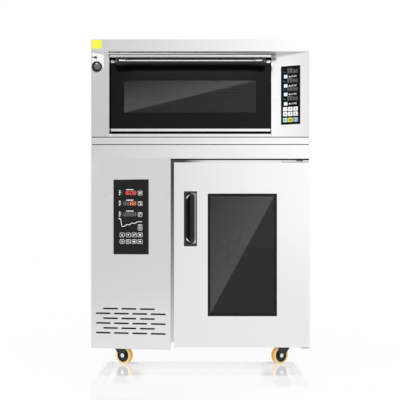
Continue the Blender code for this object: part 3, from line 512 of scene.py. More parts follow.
mouldLook = {
    "blackPlastic": {"colour": (0.012, 0.012, 0.013), "roughness": 0.30, "skin": 900.0,
                     "vary": 0.25, "bump": 0.06},
    "glossBlack": {"colour": (0.0035, 0.0035, 0.004), "roughness": 0.15, "skin": 500.0,
                   "vary": 0.25, "bump": 0.02, "level": 0.20},
    "pullBlack": {"colour": (0.010, 0.010, 0.011), "roughness": 0.28, "skin": 900.0,
                  "vary": 0.25, "bump": 0.05, "level": 0.45},
    "tubeBlack": {"colour": (0.0020, 0.0020, 0.0024), "roughness": 0.24, "skin": 700.0,
                  "vary": 0.25, "bump": 0.02, "level": 0.20},
    "panelFilm": {"colour": (0.0085, 0.009, 0.010), "roughness": 0.34, "skin": 1500.0,
                  "vary": 0.15, "bump": 0.03, "level": 0.20},
    "ovenFilm": {"colour": (0.0070, 0.0075, 0.0085), "roughness": 0.34, "skin": 1500.0,
                 "vary": 0.15, "bump": 0.03, "level": 0.05},
    "enamel": {"colour": (0.0045, 0.0045, 0.005), "roughness": 0.16, "skin": 300.0,
               "vary": 0.15, "bump": 0.01, "level": 0.13},
    "blackPaint": {"colour": (0.018, 0.018, 0.019), "roughness": 0.40, "skin": 650.0,
                   "vary": 0.30, "bump": 0.16},
    "greyPlastic": {"colour": (0.085, 0.088, 0.092), "roughness": 0.09, "skin": 900.0,
                    "vary": 0.10, "bump": 0.05},
    "rubber": {"colour": (0.022, 0.022, 0.023), "roughness": 0.72, "skin": 1200.0,
               "vary": 0.25, "bump": 0.25, "level": 0.35},
    "heater": {"colour": (0.13, 0.115, 0.105), "roughness": 0.55, "skin": 700.0,
               "vary": 0.40, "bump": 0.20, "metallic": 0.8},
    "hub": {"colour": (0.020, 0.020, 0.021), "roughness": 0.36, "skin": 700.0,
            "vary": 0.30, "bump": 0.10},
    # painted shade: near-black for the pleated strip behind the vents
    "ventShade": {"colour": (0.010, 0.010, 0.010), "roughness": 0.80, "skin": 900.0,
               "vary": 0.50, "bump": 0.50, "level": 0.2},
    # painted shade: near-black matt for the dark gaps round the doors
    "recess": {"colour": (0.0030, 0.0030, 0.0031), "roughness": 0.55, "skin": 900.0,
               "vary": 0.20, "bump": 0.05, "level": 0.06},
    "yellowPlate": {"colour": (0.97, 0.95, 0.06), "roughness": 0.38, "skin": 900.0,
                    "vary": 0.03, "bump": 0.02},
    "whitePlate": {"colour": (0.94, 0.94, 0.93), "roughness": 0.38, "skin": 900.0,
                   "vary": 0.02, "bump": 0.02},
}
blackPlastic = moulded("black_plastic", mouldLook["blackPlastic"])
glossBlack = moulded("gloss_black", mouldLook["glossBlack"])
pullBlack = moulded("pull_black", mouldLook["pullBlack"])
tubeBlack = moulded("tube_black", mouldLook["tubeBlack"])
panelFilm = moulded("panel_film", mouldLook["panelFilm"])
ovenFilm = moulded("oven_film", mouldLook["ovenFilm"])
enamelBlack = moulded("enamel_black", mouldLook["enamel"])
blackPaint = moulded("black_paint", mouldLook["blackPaint"])
greyPlastic = moulded("grey_plastic", mouldLook["greyPlastic"])
sealRubber = moulded("seal_rubber", mouldLook["rubber"])
heaterOxide = moulded("heater_oxide", mouldLook["heater"])
hubPlastic = moulded("hub_plastic", mouldLook["hub"])
ventShadeFoam = moulded("vent_shade_foam", mouldLook["ventShade"])
yellowCoat = moulded("yellow_coat", mouldLook["yellowPlate"])
whiteGlowPlate = moulded("white_glow_plate", mouldLook["whitePlate"])
# painted light: the white plate glows a little although it is no lamp
addGlow(whiteGlowPlate, (1, 1, 1), 0.14)

# painted shade: black on the chamber's rim round the oven door
rimSteel = enamelledFront("rim_steel", steelLook["chamber"], mouldLook["recess"], -1.0, 0.1335)
# painted shade: black on the liner's flange, strongest at the top left and thinning out downwards
# and to the right
linerSteel = enamelledFront("liner_steel", steelLook["liner"], mouldLook["recess"], -1.0,
                            0.0066, {"low": 0.15, "high": 1.10, "left": -0.13, "right": 0.06})
# painted reflection: the drip lip's outer face darkens from left to right
lipReflectionSteel = fadedSteel("lip_painted_reflection", steelLook["sheet"],
                      {"reach": (-0.45, 0.40), "left": 0.80, "right": 0.24})
# painted shade: black on the door pan's sides behind its bars
panSteel = enamelledFront("pan_steel", steelLook["bar"], mouldLook["recess"], 0.0878, 0.1235)
smokedGlass = tintedGlass("smoked_glass", {"colour": (0.10, 0.105, 0.11), "roughness": 0.02,
                                           "ior": 1.36, "clear": 0.96, "film": 0.02})
proofGlass = tintedGlass("proof_glass", {"colour": (0.075, 0.08, 0.085), "roughness": 0.02,
                                         "ior": 1.36, "clear": 0.96, "film": 0.02})
clearGlass = tintedGlass("clear_glass", {"colour": (0.82, 0.86, 0.85), "roughness": 0.02,
                                         "ior": 1.5, "clear": 1.0, "film": 0.03})
woolYellow = woolBatt("wool_yellow", {"colour": (0.56, 0.50, 0.34)})
tyreAmber = castTyre("tyre_amber", {"tread": (0.95, 0.40, 0.07), "flank": (1.0, 0.74, 0.28),
                                    "dirt": (0.50, 0.38, 0.26), "dust": 0.22,
                                    "roughness": 0.30, "glow": 0.16})
print("finishes made:", len(bpy.data.materials))

finishOfNode = {
    sheetSteel: ["proofer_left_side", "proofer_right_side", "proofer_top_panel",
                 "machine_bay_cover", "oven_left_side", "oven_right_side", "oven_top_cover",
                 "left_front_post", "right_front_post", "oven_base_pan", "proofer_door_skin",
                 "proofer_door_back", "steam_flue"],
    barSteel: ["water_pan", "tray_rack_left", "tray_rack_right"],
    panSteel: ["oven_door_pan"],
    tubeBlack: ["oven_handle_tube"],
    rimSteel: ["oven_chamber"],
    linerSteel: ["proofer_liner"],
    chamberSteel: ["air_duct_panel"],
    hearthSteel: ["hearth_plate"],
    baseSteel: ["base_frame"],
    zincBack: ["proofer_back", "oven_back", "condenser_coil"],
    zincFitting: ["hinge_upper", "hinge_lower", "oven_door_hinge_shaft"],
    blackPaint: ["compressor", "circulation_fan_motor"]
                + ["caster_fork_" + name for name in casterNames],
    blackPlastic: ["cable_gland", "circulation_fan", "condenser_fan"],
    glossBlack: ["oven_handle_bracket_left", "oven_handle_bracket_right", "switch_bezel",
                 "proofer_window_frame", "proofer_door_handle"],
    greyPlastic: ["switch_cap"],
    panelFilm: ["proofer_control_panel"],
    ovenFilm: ["oven_control_panel"],
    smokedGlass: ["oven_door_glass"],
    proofGlass: ["proofer_window_glass"],
    clearGlass: ["oven_door_inner_glass", "oven_lamp"],
    sealRubber: ["oven_door_gasket", "proofer_door_gasket"],
    heaterOxide: ["upper_heater", "lower_heater"],
    woolYellow: ["proofer_insulation", "oven_insulation"],
    tyreAmber: ["caster_wheel_" + name for name in casterNames],
}
for material, names in finishOfNode.items():
    for name in names:
        nodes[name].data.materials.clear()
        nodes[name].data.materials.append(material)

brokenEdges = {  # width of the broken edge in metres, and the nodes that have it
    0.0004: ["water_pan"],
    0.0006: ["proofer_left_side", "proofer_right_side", "oven_left_side", "oven_right_side",
             "oven_door_pan", "hinge_upper", "hinge_lower"],
    0.0007: ["caster_fork_" + name for name in casterNames],
    0.0008: ["oven_base_pan", "proofer_top_panel", "machine_bay_cover", "left_front_post",
             "right_front_post", "proofer_door_skin"],
    0.0009: ["oven_top_cover"],
    0.0010: ["hearth_plate"],
    0.0015: ["compressor"],
}
for width, names in brokenEdges.items():
    for name in names:
        bevel = nodes[name].modifiers.new("broken_edge", "BEVEL")
        bevel.width = width
        bevel.segments = 2
        bevel.limit_method = "ANGLE"
        bevel.angle_limit = math.radians(40)
        bevel.use_clamp_overlap = True
        bevel.harden_normals = False
print("finishes given to the frame")


# Oven: door glass, handle ends, switch, steam outlet and drip lip

doorGlass = {"windowRadius": 0.006, "windowInset": 0.015, "borderEdge": 0.0006,
             "paneInset": 0.0004}


def ovenWindow():
    # The clear part of the door: left, right, low and high
    (x0, _, z0), (x1, _, z1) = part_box("oven_door_inner_glass")
    inset = doorGlass["windowInset"]
    return [x0 + inset, x1 - inset, z0 + inset, z1 - inset]


def ovenGlass():
    low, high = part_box("oven_door_glass")
    window = ovenWindow()
    outer = roundedRect(low[0], high[0], low[2], high[2], 0.002)
    hole = roundedRect(*window, doorGlass["windowRadius"])
    form = bmesh.new()
    addRing(form, outer, hole, high[1], low[1], edge=doorGlass["borderEdge"])
    addPiece("door_glass_border", meshFrom(form), enamelBlack, "oven_door",
             replaces=["oven_door_glass"])
    gap = doorGlass["paneInset"]
    pane = [window[0] + gap, window[1] - gap, window[2] + gap, window[3] - gap]
    form = bmesh.new()
    addPrism(form, roundedRect(*pane, doorGlass["windowRadius"]), high[1], low[1] + 0.0002)
    addPiece("door_glass_pane", meshFrom(form), smokedGlass, "oven_door",
             replaces=["oven_door_glass"])


ovenGlass()
print("oven door glass made")


handleEnd = {"middle": -0.055, "axis": (0.018, 1.7000), "sleeve": (0.3560, 0.3960, 0.0244),
             "lip": (0.3560, 0.3600, 0.0255), "cap": (0.3960, 0.0315, 0.0268),
             # the leg back to the glass: reach from the door's middle, depth, height, radius
             "leg": ((0.3960, 0.0180, 1.7000, 0.0255), (0.3980, 0.0280, 1.6985, 0.0258),
                     (0.4000, 0.0420, 1.6950, 0.0262), (0.4010, 0.0600, 1.6905, 0.0268),
                     (0.4010, 0.0796, 1.6870, 0.0280)),
             "voxel": 0.0013, "smooth": 12}


def handleEnds():
    # Sleeve, domed end and leg blended into one moulding
    look = handleEnd
    d0, z0 = look["axis"]
    for name, side in (("left", -1), ("right", 1)):
        def at(reach, d, z):
            return (look["middle"] + side * reach, frontY + d, z)

        form = bmesh.new()
        for start, end, radius in (look["sleeve"], look["lip"]):
            sweepTube(form, [at(start, d0, z0), at(end, d0, z0)], [radius] * 2, 40)
        reach, half, radius = look["cap"]
        place = Matrix.Translation(at(reach, d0, z0)) @ Matrix.Diagonal((half, radius, radius, 1))
        bmesh.ops.create_uvsphere(form, u_segments=40, v_segments=24, radius=1.0, matrix=place)
        sweepTube(form, [at(*point[:3]) for point in look["leg"]],
                  [point[3] for point in look["leg"]], 40)
        piece = addPiece("handle_end_" + name, meshFrom(form), glossBlack, "oven_door",
                         replaces=["oven_handle_bracket_" + name])
        blend = piece.modifiers.new("blend", "REMESH")
        blend.mode = "VOXEL"
        blend.voxel_size = look["voxel"]
        blend.use_smooth_shade = True
        soften = piece.modifiers.new("soften", "SMOOTH")
        soften.factor = 0.5
        soften.iterations = look["smooth"]


handleEnds()
print("handle ends made")


switchDome = {"spot": (-0.581, 1.6706), "radius": 0.0195, "edge": -0.0150, "top": -0.0189,
              "stem": 0.0050, "steps": 10}


def switchCap():
    # Push cap with a domed face on its stem
    look = switchDome
    radius, edge, top = look["radius"], look["edge"], look["top"]
    profile = [(0.0, 0.0140), (look["stem"], 0.0140), (look["stem"], -0.0065),
               (radius - 0.0004, -0.0065), (radius, -0.0069), (radius, edge + 0.0006)]
    for step in range(look["steps"] + 1):
        share = step / look["steps"]
        profile.append(((radius - 0.0004) * math.cos(share * math.pi / 2),
                        edge + (top - edge) * math.sin(share * math.pi / 2)))
    profile[-1] = (0.0, top)
    form = bmesh.new()
    addLathe(form, profile, 48)
    addPiece("switch_dome", meshFrom(form, smoothAngle=60), greyPlastic, "lamp_switch",
             postFace(*look["spot"]), ["switch_cap"])


switchCap()


damper = {"centre": (-0.055, 1.600), "depth": 0.815, "radius": 0.0245, "thick": 0.0012,
          "shaft": 0.0022}


def flueDamper():
    # Round flap on a cross shaft, shut, inside the steam outlet
    look = damper
    x, z = look["centre"]
    y = frontY + look["depth"]
    form = bmesh.new()
    addPrism(form, circleOutline(x, z, look["radius"], 40), y, y + look["thick"])
    sweepTube(form, [(x - look["radius"], y + look["thick"] + 0.001, z),
                     (x + look["radius"], y + look["thick"] + 0.001, z)], [look["shaft"]] * 2, 16)
    addPiece("flue_damper", meshFrom(form), chamberSteel, "cabinet")


flueDamper()
print("switch and damper made")


lip = {"left": -0.509, "right": 0.399, "thick": 0.0012, "bead": 0.0013,
       # folded section: depth and height, from the header down
       "fold": ((0.0180, 1.7504), (0.0180, 1.7424), (0.0230, 1.7408), (0.0230, 1.7312))}


def openingLip():
    # Folded drip lip under the header, above the oven door
    look = lip
    outside = look["fold"]
    inside = [(d + look["thick"], z + look["thick"] * shift)
              for (d, z), shift in zip(outside, (0, 1, 1, 0))]
    outline = list(outside) + inside[::-1]
    form = bmesh.new()
    ends = [[form.verts.new((x, frontY + d, z)) for d, z in outline]
            for x in (look["left"], look["right"])]
    count = len(outline)
    for i in range(count):
        j = (i + 1) % count
        face = form.faces.new((ends[0][i], ends[0][j], ends[1][j], ends[1][i]))
        # the outer face of the first fold carries the painted reflection
        face.material_index = 1 if i == 0 else 0
    form.faces.new(ends[0])
    form.faces.new(ends[1])
    addPiece("opening_lip", meshFrom(form), [sheetSteel, lipReflectionSteel], "cabinet")
    # a black bead under the lip's outer face: painted shade for the dark line there
    form = bmesh.new()
    d, z = outside[1]
    sweepTube(form, [(x, frontY + d, z - 0.0006) for x in (look["left"], look["right"])],
              [look["bead"]] * 2, 10)
    addPiece("lip_shade_bead", meshFrom(form, smoothAngle=60), sealRubber, "cabinet")


openingLip()
print("opening lip made")


# Proofer door: recessed pull with painted-highlight trims, hinge stop, and black beads of painted
# shade

pull = {"outer": (-0.0895, -0.0195, 0.6675, 0.9680), "mouth": (-0.0800, -0.0222, 0.6800, 0.9600),
        "face": -0.0643, "seat": -0.0603, "round": 0.030, "edge": 0.0009,
        # the finger scoop from its right edge inwards: across, depth behind the fascia
        "scoop": ((-0.0224, -0.0634), (-0.0234, -0.0612), (-0.0262, -0.0600), (-0.0302, -0.0577),
                  (-0.0346, -0.0545), (-0.0392, -0.0504), (-0.0438, -0.0454), (-0.0484, -0.0396),
                  (-0.0530, -0.0340), (-0.0600, -0.0300), (-0.0700, -0.0290), (-0.0838, -0.0288)),
        "scoopRim": -0.0606,
        # how deep the scoop is at its ends: distance from the end, share of the depth
        "scoopEnds": ((0.0, 0.0), (0.004, 0.30), (0.010, 0.62), (0.018, 0.86), (0.030, 1.0)),
        "scoopWall": 0.0012,
        "grip": (-0.0800, -0.0560), "gripFace": -0.0694, "gripBack": -0.0600,
        "gripRound": (0.0205, 0.0030)}  # left and right corners
pullHighlightTrim = {"middle": (0.0275, 0.0385), "outer": (0.0270, 0.0290), "inner": (0.0266, 0.0286),
            "start": 92, "sweep": 76, "swell": 0.0058, "skew": 1.8, "steps": 12}


def pullFrame():
    look = pull
    form = bmesh.new()
    outer = roundedRect(*look["outer"], 0.0022, 8)
    mouth = roundedRect(*look["mouth"], 0.0040, 8, look["round"])
    addRing(form, outer, mouth, frontY + look["seat"], frontY + look["face"], edge=look["edge"])
    addPiece("pull_frame", meshFrom(form), pullBlack, "proofer_door",
             replaces=["proofer_door_handle"])


def pullScoop():
    look = pull
    form = bmesh.new()
    z0, z1 = look["mouth"][2] - 0.001, look["mouth"][3] + 0.001
    ends = look["scoopEnds"]
    levels = [(z0 + along, share) for along, share in ends]
    levels += [(z1 - along, share) for along, share in reversed(ends)]
    rim = look["scoopRim"]
    rows = []
    for z, share in levels:
        rows.append([form.verts.new((x, frontY + rim + (max(d, rim) - rim) * share
                                     if d > rim else frontY + d, z))
                     for x, d in look["scoop"]])
    for near, far in zip(rows, rows[1:]):
        for i in range(len(near) - 1):
            form.faces.new((near[i], near[i + 1], far[i + 1], far[i]))
    sheet = meshFrom(form, smoothAngle=60)
    piece = addPiece("pull_scoop", sheet, scoopSteel, "proofer_door",
                     replaces=["proofer_door_handle"])
    thick = piece.modifiers.new("wall", "SOLIDIFY")
    thick.thickness = look["scoopWall"]
    thick.offset = 1.0 if sheet.polygons[0].normal.y < 0 else -1.0


def pullGrip():
    # Finger bar with round left corners and a crowned face
    look = pull
    x0, x1 = look["grip"]
    z0, z1 = look["mouth"][2], look["mouth"][3]
    form = bmesh.new()
    crown = ((0.0, look["gripBack"]), (0.0, look["gripFace"] + 0.0050),
             (0.0006, look["gripFace"] + 0.0030), (0.0020, look["gripFace"] + 0.0012),
             (0.0042, look["gripFace"] + 0.0003), (0.0070, look["gripFace"]))
    rings = []
    left, right = look["gripRound"]
    for inset, d in crown:
        outline = roundedRect(x0 + inset, x1 - inset, z0 + inset, z1 - inset,
                              right + 0.2 * inset, 8, left - inset)
        rings.append([form.verts.new((x, frontY + d, z)) for x, z in outline])
    form.faces.new(rings[0])
    form.faces.new(rings[-1])
    bridge(form, rings)
    addPiece("pull_grip", meshFrom(form, smoothAngle=50), glossBlack, "proofer_door",
             replaces=["proofer_door_handle"])


def pullTrims():
    # Bright steel trims let into the two round corners; their crescent shape is the corners'
    # highlight, so they are partly a painted highlight
    look = pullHighlightTrim
    x0, z0, z1 = pull["mouth"][0], pull["mouth"][2], pull["mouth"][3]
    (outX, outZ), (inX, inZ) = look["outer"], look["inner"]
    face = frontY + pull["gripFace"]
    form = bmesh.new()
    for side in (1, -1):
        cx = x0 + look["middle"][0]
        cz = (z1 if side > 0 else z0) - side * look["middle"][1]
        outer, inner = [], []
        for step in range(look["steps"] + 1):
            share = step / look["steps"]
            angle = math.radians(look["start"] + look["sweep"] * share) * side
            swell = math.sin(math.pi * share ** look["skew"]) * look["swell"]
            outer.append((cx + outX * math.cos(angle), cz + outZ * math.sin(angle)))
            inner.append((cx + (inX - swell) * math.cos(angle),
                          cz + (inZ - swell) * math.sin(angle)))
        addPrism(form, outer + inner[::-1], face + 0.0016, face - 0.0001)
    addPiece("pull_highlight_trims", meshFrom(form), barSteel, "proofer_door")


hingeStop = {"low": (0.532, -0.0575, 1.1347), "high": (0.566, -0.030, 1.1400), "edge": 0.0012}
shadeBeads = {"ledge": 1.2752, "joint": 1.2340, "radius": 0.0024, "out": 0.0006}


def smallSeals():
    form = bmesh.new()
    low, high = [(x, y + frontY, z) for x, y, z in (hingeStop["low"], hingeStop["high"])]
    addBox(form, low, high, hingeStop["edge"])
    addPiece("hinge_stop", meshFrom(form), sealRubber, "cabinet")
    # black beads put along lines of shade, as painted shade: along the ledge, between oven and
    # proofer, and up both ends of the sill
    form = bmesh.new()
    edge = halfWidth - 0.004
    runs = [((-edge, shadeBeads["out"], z), (edge, shadeBeads["out"], z))
            for z in (shadeBeads["ledge"], shadeBeads["joint"])]
    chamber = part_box("oven_chamber")
    for x in (chamber[0][0], chamber[1][0]):
        runs.append(((x, 0.0782, shadeBeads["ledge"] + 0.002), (x, 0.0782, 1.3035)))
    for start, end in runs:
        path = [(x, frontY + d, z) for x, d, z in (start, end)]
        sweepTube(form, path, [shadeBeads["radius"]] * 2, 10)
    addPiece("ledge_shade_beads", meshFrom(form, smoothAngle=60), sealRubber, "cabinet")


pullFrame()
pullScoop()
pullGrip()
pullTrims()
smallSeals()
print("door pull and seals made")


# Keypads

inks = {
    # red and amber are lit readouts; the glow on the white, blue, yellow, violet and key marks is
    # painted light on print
    "white": litInk("ink_white", (0.88, 0.90, 0.91), 0.55),
    "grey": litInk("ink_grey", (0.27, 0.28, 0.285)),
    "red": litInk("lit_red", (0.95, 0.10, 0.08), 0.85),
    "amber": litInk("lit_amber", (0.97, 0.24, 0.08), 0.80),
    "dark": litInk("ink_dark", (0.012, 0.012, 0.014)),
    "blue": litInk("key_blue", (0.58, 0.74, 0.86), 0.20),
    "yellow": litInk("key_yellow", (0.90, 0.88, 0.08), 0.10),
    "violet": litInk("key_violet", (0.44, 0.56, 0.86), 0.10),
    "key": litInk("key_white", (0.86, 0.86, 0.86), 0.26),
    "tan": litInk("ink_tan", (0.50, 0.47, 0.30)),
}
inkOrder = list(inks)
inkDepth = 0.00035
panelFace = -0.0033  # where the keypad plates end, from the sheet that they lie on
segments = {"0": "abcdef", "1": "bc", "2": "abged", "3": "abgcd", "4": "fgbc", "5": "afgcd",
            "6": "afgecd", "7": "abc", "8": "abcdefg", "9": "abfgcd", "-": "g", " ": ""}


class Marks:
    # Raised marks on one keypad; u runs to the right and v up, in metres
    def __init__(self):
        self.form = bmesh.new()

    def shape(self, outline, ink, lift=0.0):
        back = panelFace + 0.0002 - lift
        addPrism(self.form, outline, back, panelFace - inkDepth - lift, inkOrder.index(ink))

    def rect(self, u0, u1, v0, v1, ink, radius=0.0, lift=0.0):
        corners = [(u0, v0), (u1, v0), (u1, v1), (u0, v1)]
        outline = roundedRect(u0, u1, v0, v1, radius, 3) if radius else corners
        self.shape(outline, ink, lift)

    def frame(self, u0, u1, v0, v1, line, ink, radius=0.0015):
        outer = roundedRect(u0, u1, v0, v1, radius, 3)
        inner = roundedRect(u0 + line, u1 - line, v0 + line, v1 - line, radius - line / 2, 3)
        addRing(self.form, outer, inner, panelFace + 0.0002, panelFace - inkDepth,
                inkOrder.index(ink))

    def line(self, points, width, ink, lift=0.0):
        for (u0, v0), (u1, v1) in zip(points, points[1:]):
            along = Vector((u1 - u0, v1 - v0)).normalized()
            side = Vector((-along.y, along.x)) * width / 2
            end = along * width / 4
            corners = [Vector((u0, v0)) - end - side, Vector((u1, v1)) + end - side,
                       Vector((u1, v1)) + end + side, Vector((u0, v0)) - end + side]
            self.shape([tuple(c) for c in corners], ink, lift)

    def triangle(self, u, v, size, up, ink, lift=0.0):
        tip = size if up else -size
        self.shape([(u - size, v - tip / 2), (u + size, v - tip / 2), (u, v + tip / 2)], ink, lift)

    def digit(self, mark, u, v, width, height, lit, dim=None, weight=0.11):
        w, h, t = width / 2, height / 2, height * weight
        g = t * 0.30
        bars = {"a": ((-w + g, h), (w - g, h)), "g": ((-w + g, 0), (w - g, 0)),
                "d": ((-w + g, -h), (w - g, -h)), "f": ((-w, h - g), (-w, g)),
                "b": ((w, h - g), (w, g)), "e": ((-w, -g), (-w, -h + g)),
                "c": ((w, -g), (w, -h + g))}
        for key, (start, end) in bars.items():
            ink = lit if key in segments[mark] else dim
            if ink:
                slant = 0.05
                points = [(u + p[0] + p[1] * slant, v + p[1]) for p in (start, end)]
                self.line(points, t, ink)

    def finish(self, name, body, place):
        mesh = meshFrom(self.form)
        return addPiece(name, mesh, list(inks.values()), body, place)


bayPanel = {"x": -0.384, "z": 0.8285, "proud": 0.072, "run": 0.4447, "line": 0.0013,
            "columns": (-0.0499, -0.0147, 0.0191, 0.0527), "key": (0.0131, 0.0118)}
bayTurn = -math.atan2(bayPanel["proud"], bayPanel["run"])


def bayMarks():
    look = bayPanel
    marks = Marks()
    # three readouts, each with a caption, small signs at its left and a key at its right
    rows = [(0.1338, "1608", "red", 4), (0.0760, "88", "amber", 2), (0.0154, "88", "grey", 2)]
    for v, text, ink, lit in rows:
        for number in range(4):
            u = -0.0345 + 0.0188 * number
            shown = number >= 4 - lit
            mark = text[number - 4 + lit] if shown else "8"
            inkOn = ink if shown else "grey"
            marks.digit(mark, u, v - 0.0012, 0.0118, 0.0182, inkOn, None if shown else "grey")
        for number in range(5):
            u = -0.0260 + 0.0085 * number
            marks.rect(u, u + 0.0060, v + 0.0148, v + 0.0192, "white", 0.001)
        for n, width in enumerate((0.011, 0.013, 0.009)):
            top = v + 0.011 - 0.010 * n
            marks.line([(-0.0680, top), (-0.0680 + width, top)], 0.0019, "white")
            marks.line([(-0.0650, top - 0.004), (-0.0630, top + 0.004)], 0.0016, "white")
            marks.rect(-0.0500, -0.0480, top - 0.001, top + 0.001, "grey")
        marks.frame(0.0405, 0.0641, v - 0.0140, v + 0.0096, look["line"], "white", 0.004)
    signs = ((0.1338, [(-0.006, -0.006), (-0.002, 0.005), (0.003, -0.004), (0.007, 0.006)]),
             (0.0760, [(-0.006, 0.004), (0.004, 0.005), (0.000, -0.007), (0.007, -0.004)]),
             (0.0154, [(-0.007, -0.005), (0.000, 0.000), (-0.001, 0.006), (0.007, 0.004)]))
    for v, points in signs:
        marks.line([(0.0522 + a, v - 0.0022 + b) for a, b in points], 0.0020, "white")
    # the proving curve
    curve = [(-0.068, -0.010), (-0.057, -0.014), (-0.0525, -0.051), (-0.038, -0.053),
             (-0.024, -0.042), (-0.010, -0.044), (0.007, -0.033), (0.021, -0.037),
             (0.038, -0.026), (0.064, -0.026)]
    marks.line(curve, 0.0022, "white")
    marks.rect(0.040, 0.064, -0.0300, -0.0238, "tan", 0.001)
    marks.line([(-0.070, -0.008), (-0.060, -0.008)], 0.0018, "white")
    marks.frame(0.0405, 0.0641, -0.0745, -0.0420, look["line"], "white", 0.004)
    for n in range(3):
        v = -0.047 - 0.010 * n
        marks.line([(0.0460, v), (0.0585, v + 0.002 * (n - 1))], 0.0022, "white")
    # two rows of keys
    wide, high = look["key"]
    for row, v in enumerate((-0.0995, -0.1365)):
        for column, u in enumerate(look["columns"]):
            marks.frame(u - wide, u + wide, v - high, v + high, look["line"], "white", 0.0045)
            if row == 0 and column < 2:
                marks.triangle(u, v, 0.0062, column == 0, "white")
            elif row == 0:
                points = [(-0.007, -0.005), (-0.002, 0.004), (0.001, -0.002), (0.007, 0.006)]
                points = points if column == 2 else [(-0.006, 0.006), (0.006, -0.006)]
                marks.line([(u + a, v + b) for a, b in points], 0.0022, "white")
                if column == 3:
                    marks.line([(u - 0.006, v - 0.006), (u + 0.006, v + 0.006)], 0.0022, "white")
            elif column < 2:
                for shift in (-0.005, 0.0, 0.005):
                    marks.line([(u + shift, v - 0.005), (u + shift, v + 0.005)], 0.0016, "white")
            else:
                marks.rect(u - 0.006, u + 0.006, v - 0.0035, v + 0.0035, "white", 0.001)
    depth = -look["proud"] * (look["x"] + skinEdge) / look["run"]
    marks.finish("bay_keypad_marks", "cabinet", faceOf(look["x"], look["z"], depth, bayTurn))


ovenPanel = {"x": 0.509, "z": 1.517, "scaleU": 0.110 / 19.6,
             "scaleV": 0.330 / 58.7, "middleU": 290.8, "middleV": 94.9}


def ovenMarks():
    look = ovenPanel
    marks = Marks()

    def box(x0, x1, y0, y1):
        # the keypad's own drawing is laid out on a grid of 19.6 by 58.7 units
        return ((x0 - look["middleU"]) * look["scaleU"], (x1 - look["middleU"]) * look["scaleU"],
                (look["middleV"] - y1) * look["scaleV"], (look["middleV"] - y0) * look["scaleV"])

    for top in (69.6, 78.9, 87.4, 96.9):
        u0, u1, v0, v1 = box(287.3, 298.2, top, top + 3.4)
        step = (u1 - u0) / 4
        for number in range(4):
            u = u0 + step * (number + 0.5)
            marks.digit("8", u, (v0 + v1) / 2, step * 0.52, (v1 - v0) * 0.86, "grey")
        for x in (287.6, 289.6, 291.4):
            marks.rect(*box(x, x + 1.4, top - 1.15, top - 0.45), "grey")
        marks.line([box(283.2, 0, top + 1.4, 0)[::3], box(285.6, 0, top + 2.4, 0)[::3]],
                   0.0018, "grey")
        u0, u1, v0, v1 = box(284.1, 287.8, top + 4.8, top + 8.3)
        marks.rect(u0, u1, v0, v1, "blue", 0.002)
        marks.rect(u0 + 0.005, u1 - 0.005, v0 + 0.005, v1 - 0.005, "key", 0.001, inkDepth)
        middle = (v0 + v1) / 2
        marks.triangle(box(290.0, 0, 0, 0)[0], middle, 0.0065, True, "white")
        for x in (292.6, 294.6, 296.4):
            u = box(x, 0, 0, 0)[0]
            marks.line([(u - 0.0025, middle - 0.005), (u - 0.0005, middle + 0.005),
                        (u + 0.0025, middle - 0.003)], 0.0013, "white")
    columns = ((283.2, 287.7), (288.4, 292.9), (293.8, 298.2))
    number = 0
    for y0, y1 in ((106.8, 110.9), (111.7, 115.9)):
        for x0, x1 in columns:
            number += 1
            u0, u1, v0, v1 = box(x0, x1, y0, y1)
            marks.rect(u0, u1, v0, v1, "key", 0.0022)
            start = len(marks.form.faces)
            w, h = 0.0030, 0.0048
            marks.digit(str(number), (u0 + u1) / 2, (v0 + v1) / 2, w * 2, h * 2, "dark",
                        weight=0.24)
            marks.form.faces.ensure_lookup_table()
            verts = {v for f in marks.form.faces[start:] for v in f.verts}
            for vert in verts:
                vert.co.y -= inkDepth
    for (x0, x1), ink in zip(columns, ("blue", "yellow", "violet")):
        u0, u1, v0, v1 = box(x0, x1, 117.6, 121.8)
        marks.rect(u0, u1, v0, v1, ink, 0.0022)
        middle = ((u0 + u1) / 2, (v0 + v1) / 2)
        if ink == "yellow":
            marks.shape(roundedRect(middle[0] - 0.0075, middle[0] + 0.0075, middle[1] - 0.0060,
                                    middle[1] + 0.0050, 0.0040, 3), "dark", inkDepth)
            marks.shape(circleOutline(middle[0], middle[1] - 0.0005, 0.0026, 12), "yellow",
                        2 * inkDepth)
        else:
            lean = 1 if ink == "blue" else -1
            marks.rect(middle[0] - 0.0075, middle[0] - 0.0025, middle[1] - 0.0050,
                       middle[1] + 0.0050, "dark", 0.001, inkDepth)
            marks.line([(middle[0] + 0.0010, middle[1] - 0.0050 * lean),
                        (middle[0] + 0.0065, middle[1] + 0.0050 * lean)], 0.0028, "dark",
                       inkDepth)
    marks.finish("oven_keypad_marks", "cabinet", postFace(look["x"], look["z"]))


bayMarks()
ovenMarks()
print("keypads marked")


# Plain plates: on the header and beside the lamp switch

plates = {"yellow": (-0.6066, -0.5512, 1.7690, 1.8200), "thick": 0.0006,
          # the white one from the switch: left, right and top edge, and the clear round it
          "white": (-0.0245, 0.0400, 0.0742), "clear": 0.0296, "steps": 12}
lampSign = {"spot": (-0.0060, 0.0520), "bulb": 0.0078, "cap": (-0.0195, -0.0066, 0.0034),
            "rays": (-60, 0, 60), "ray": (0.0094, 0.0145, 0.0013)}  # from, to, half width


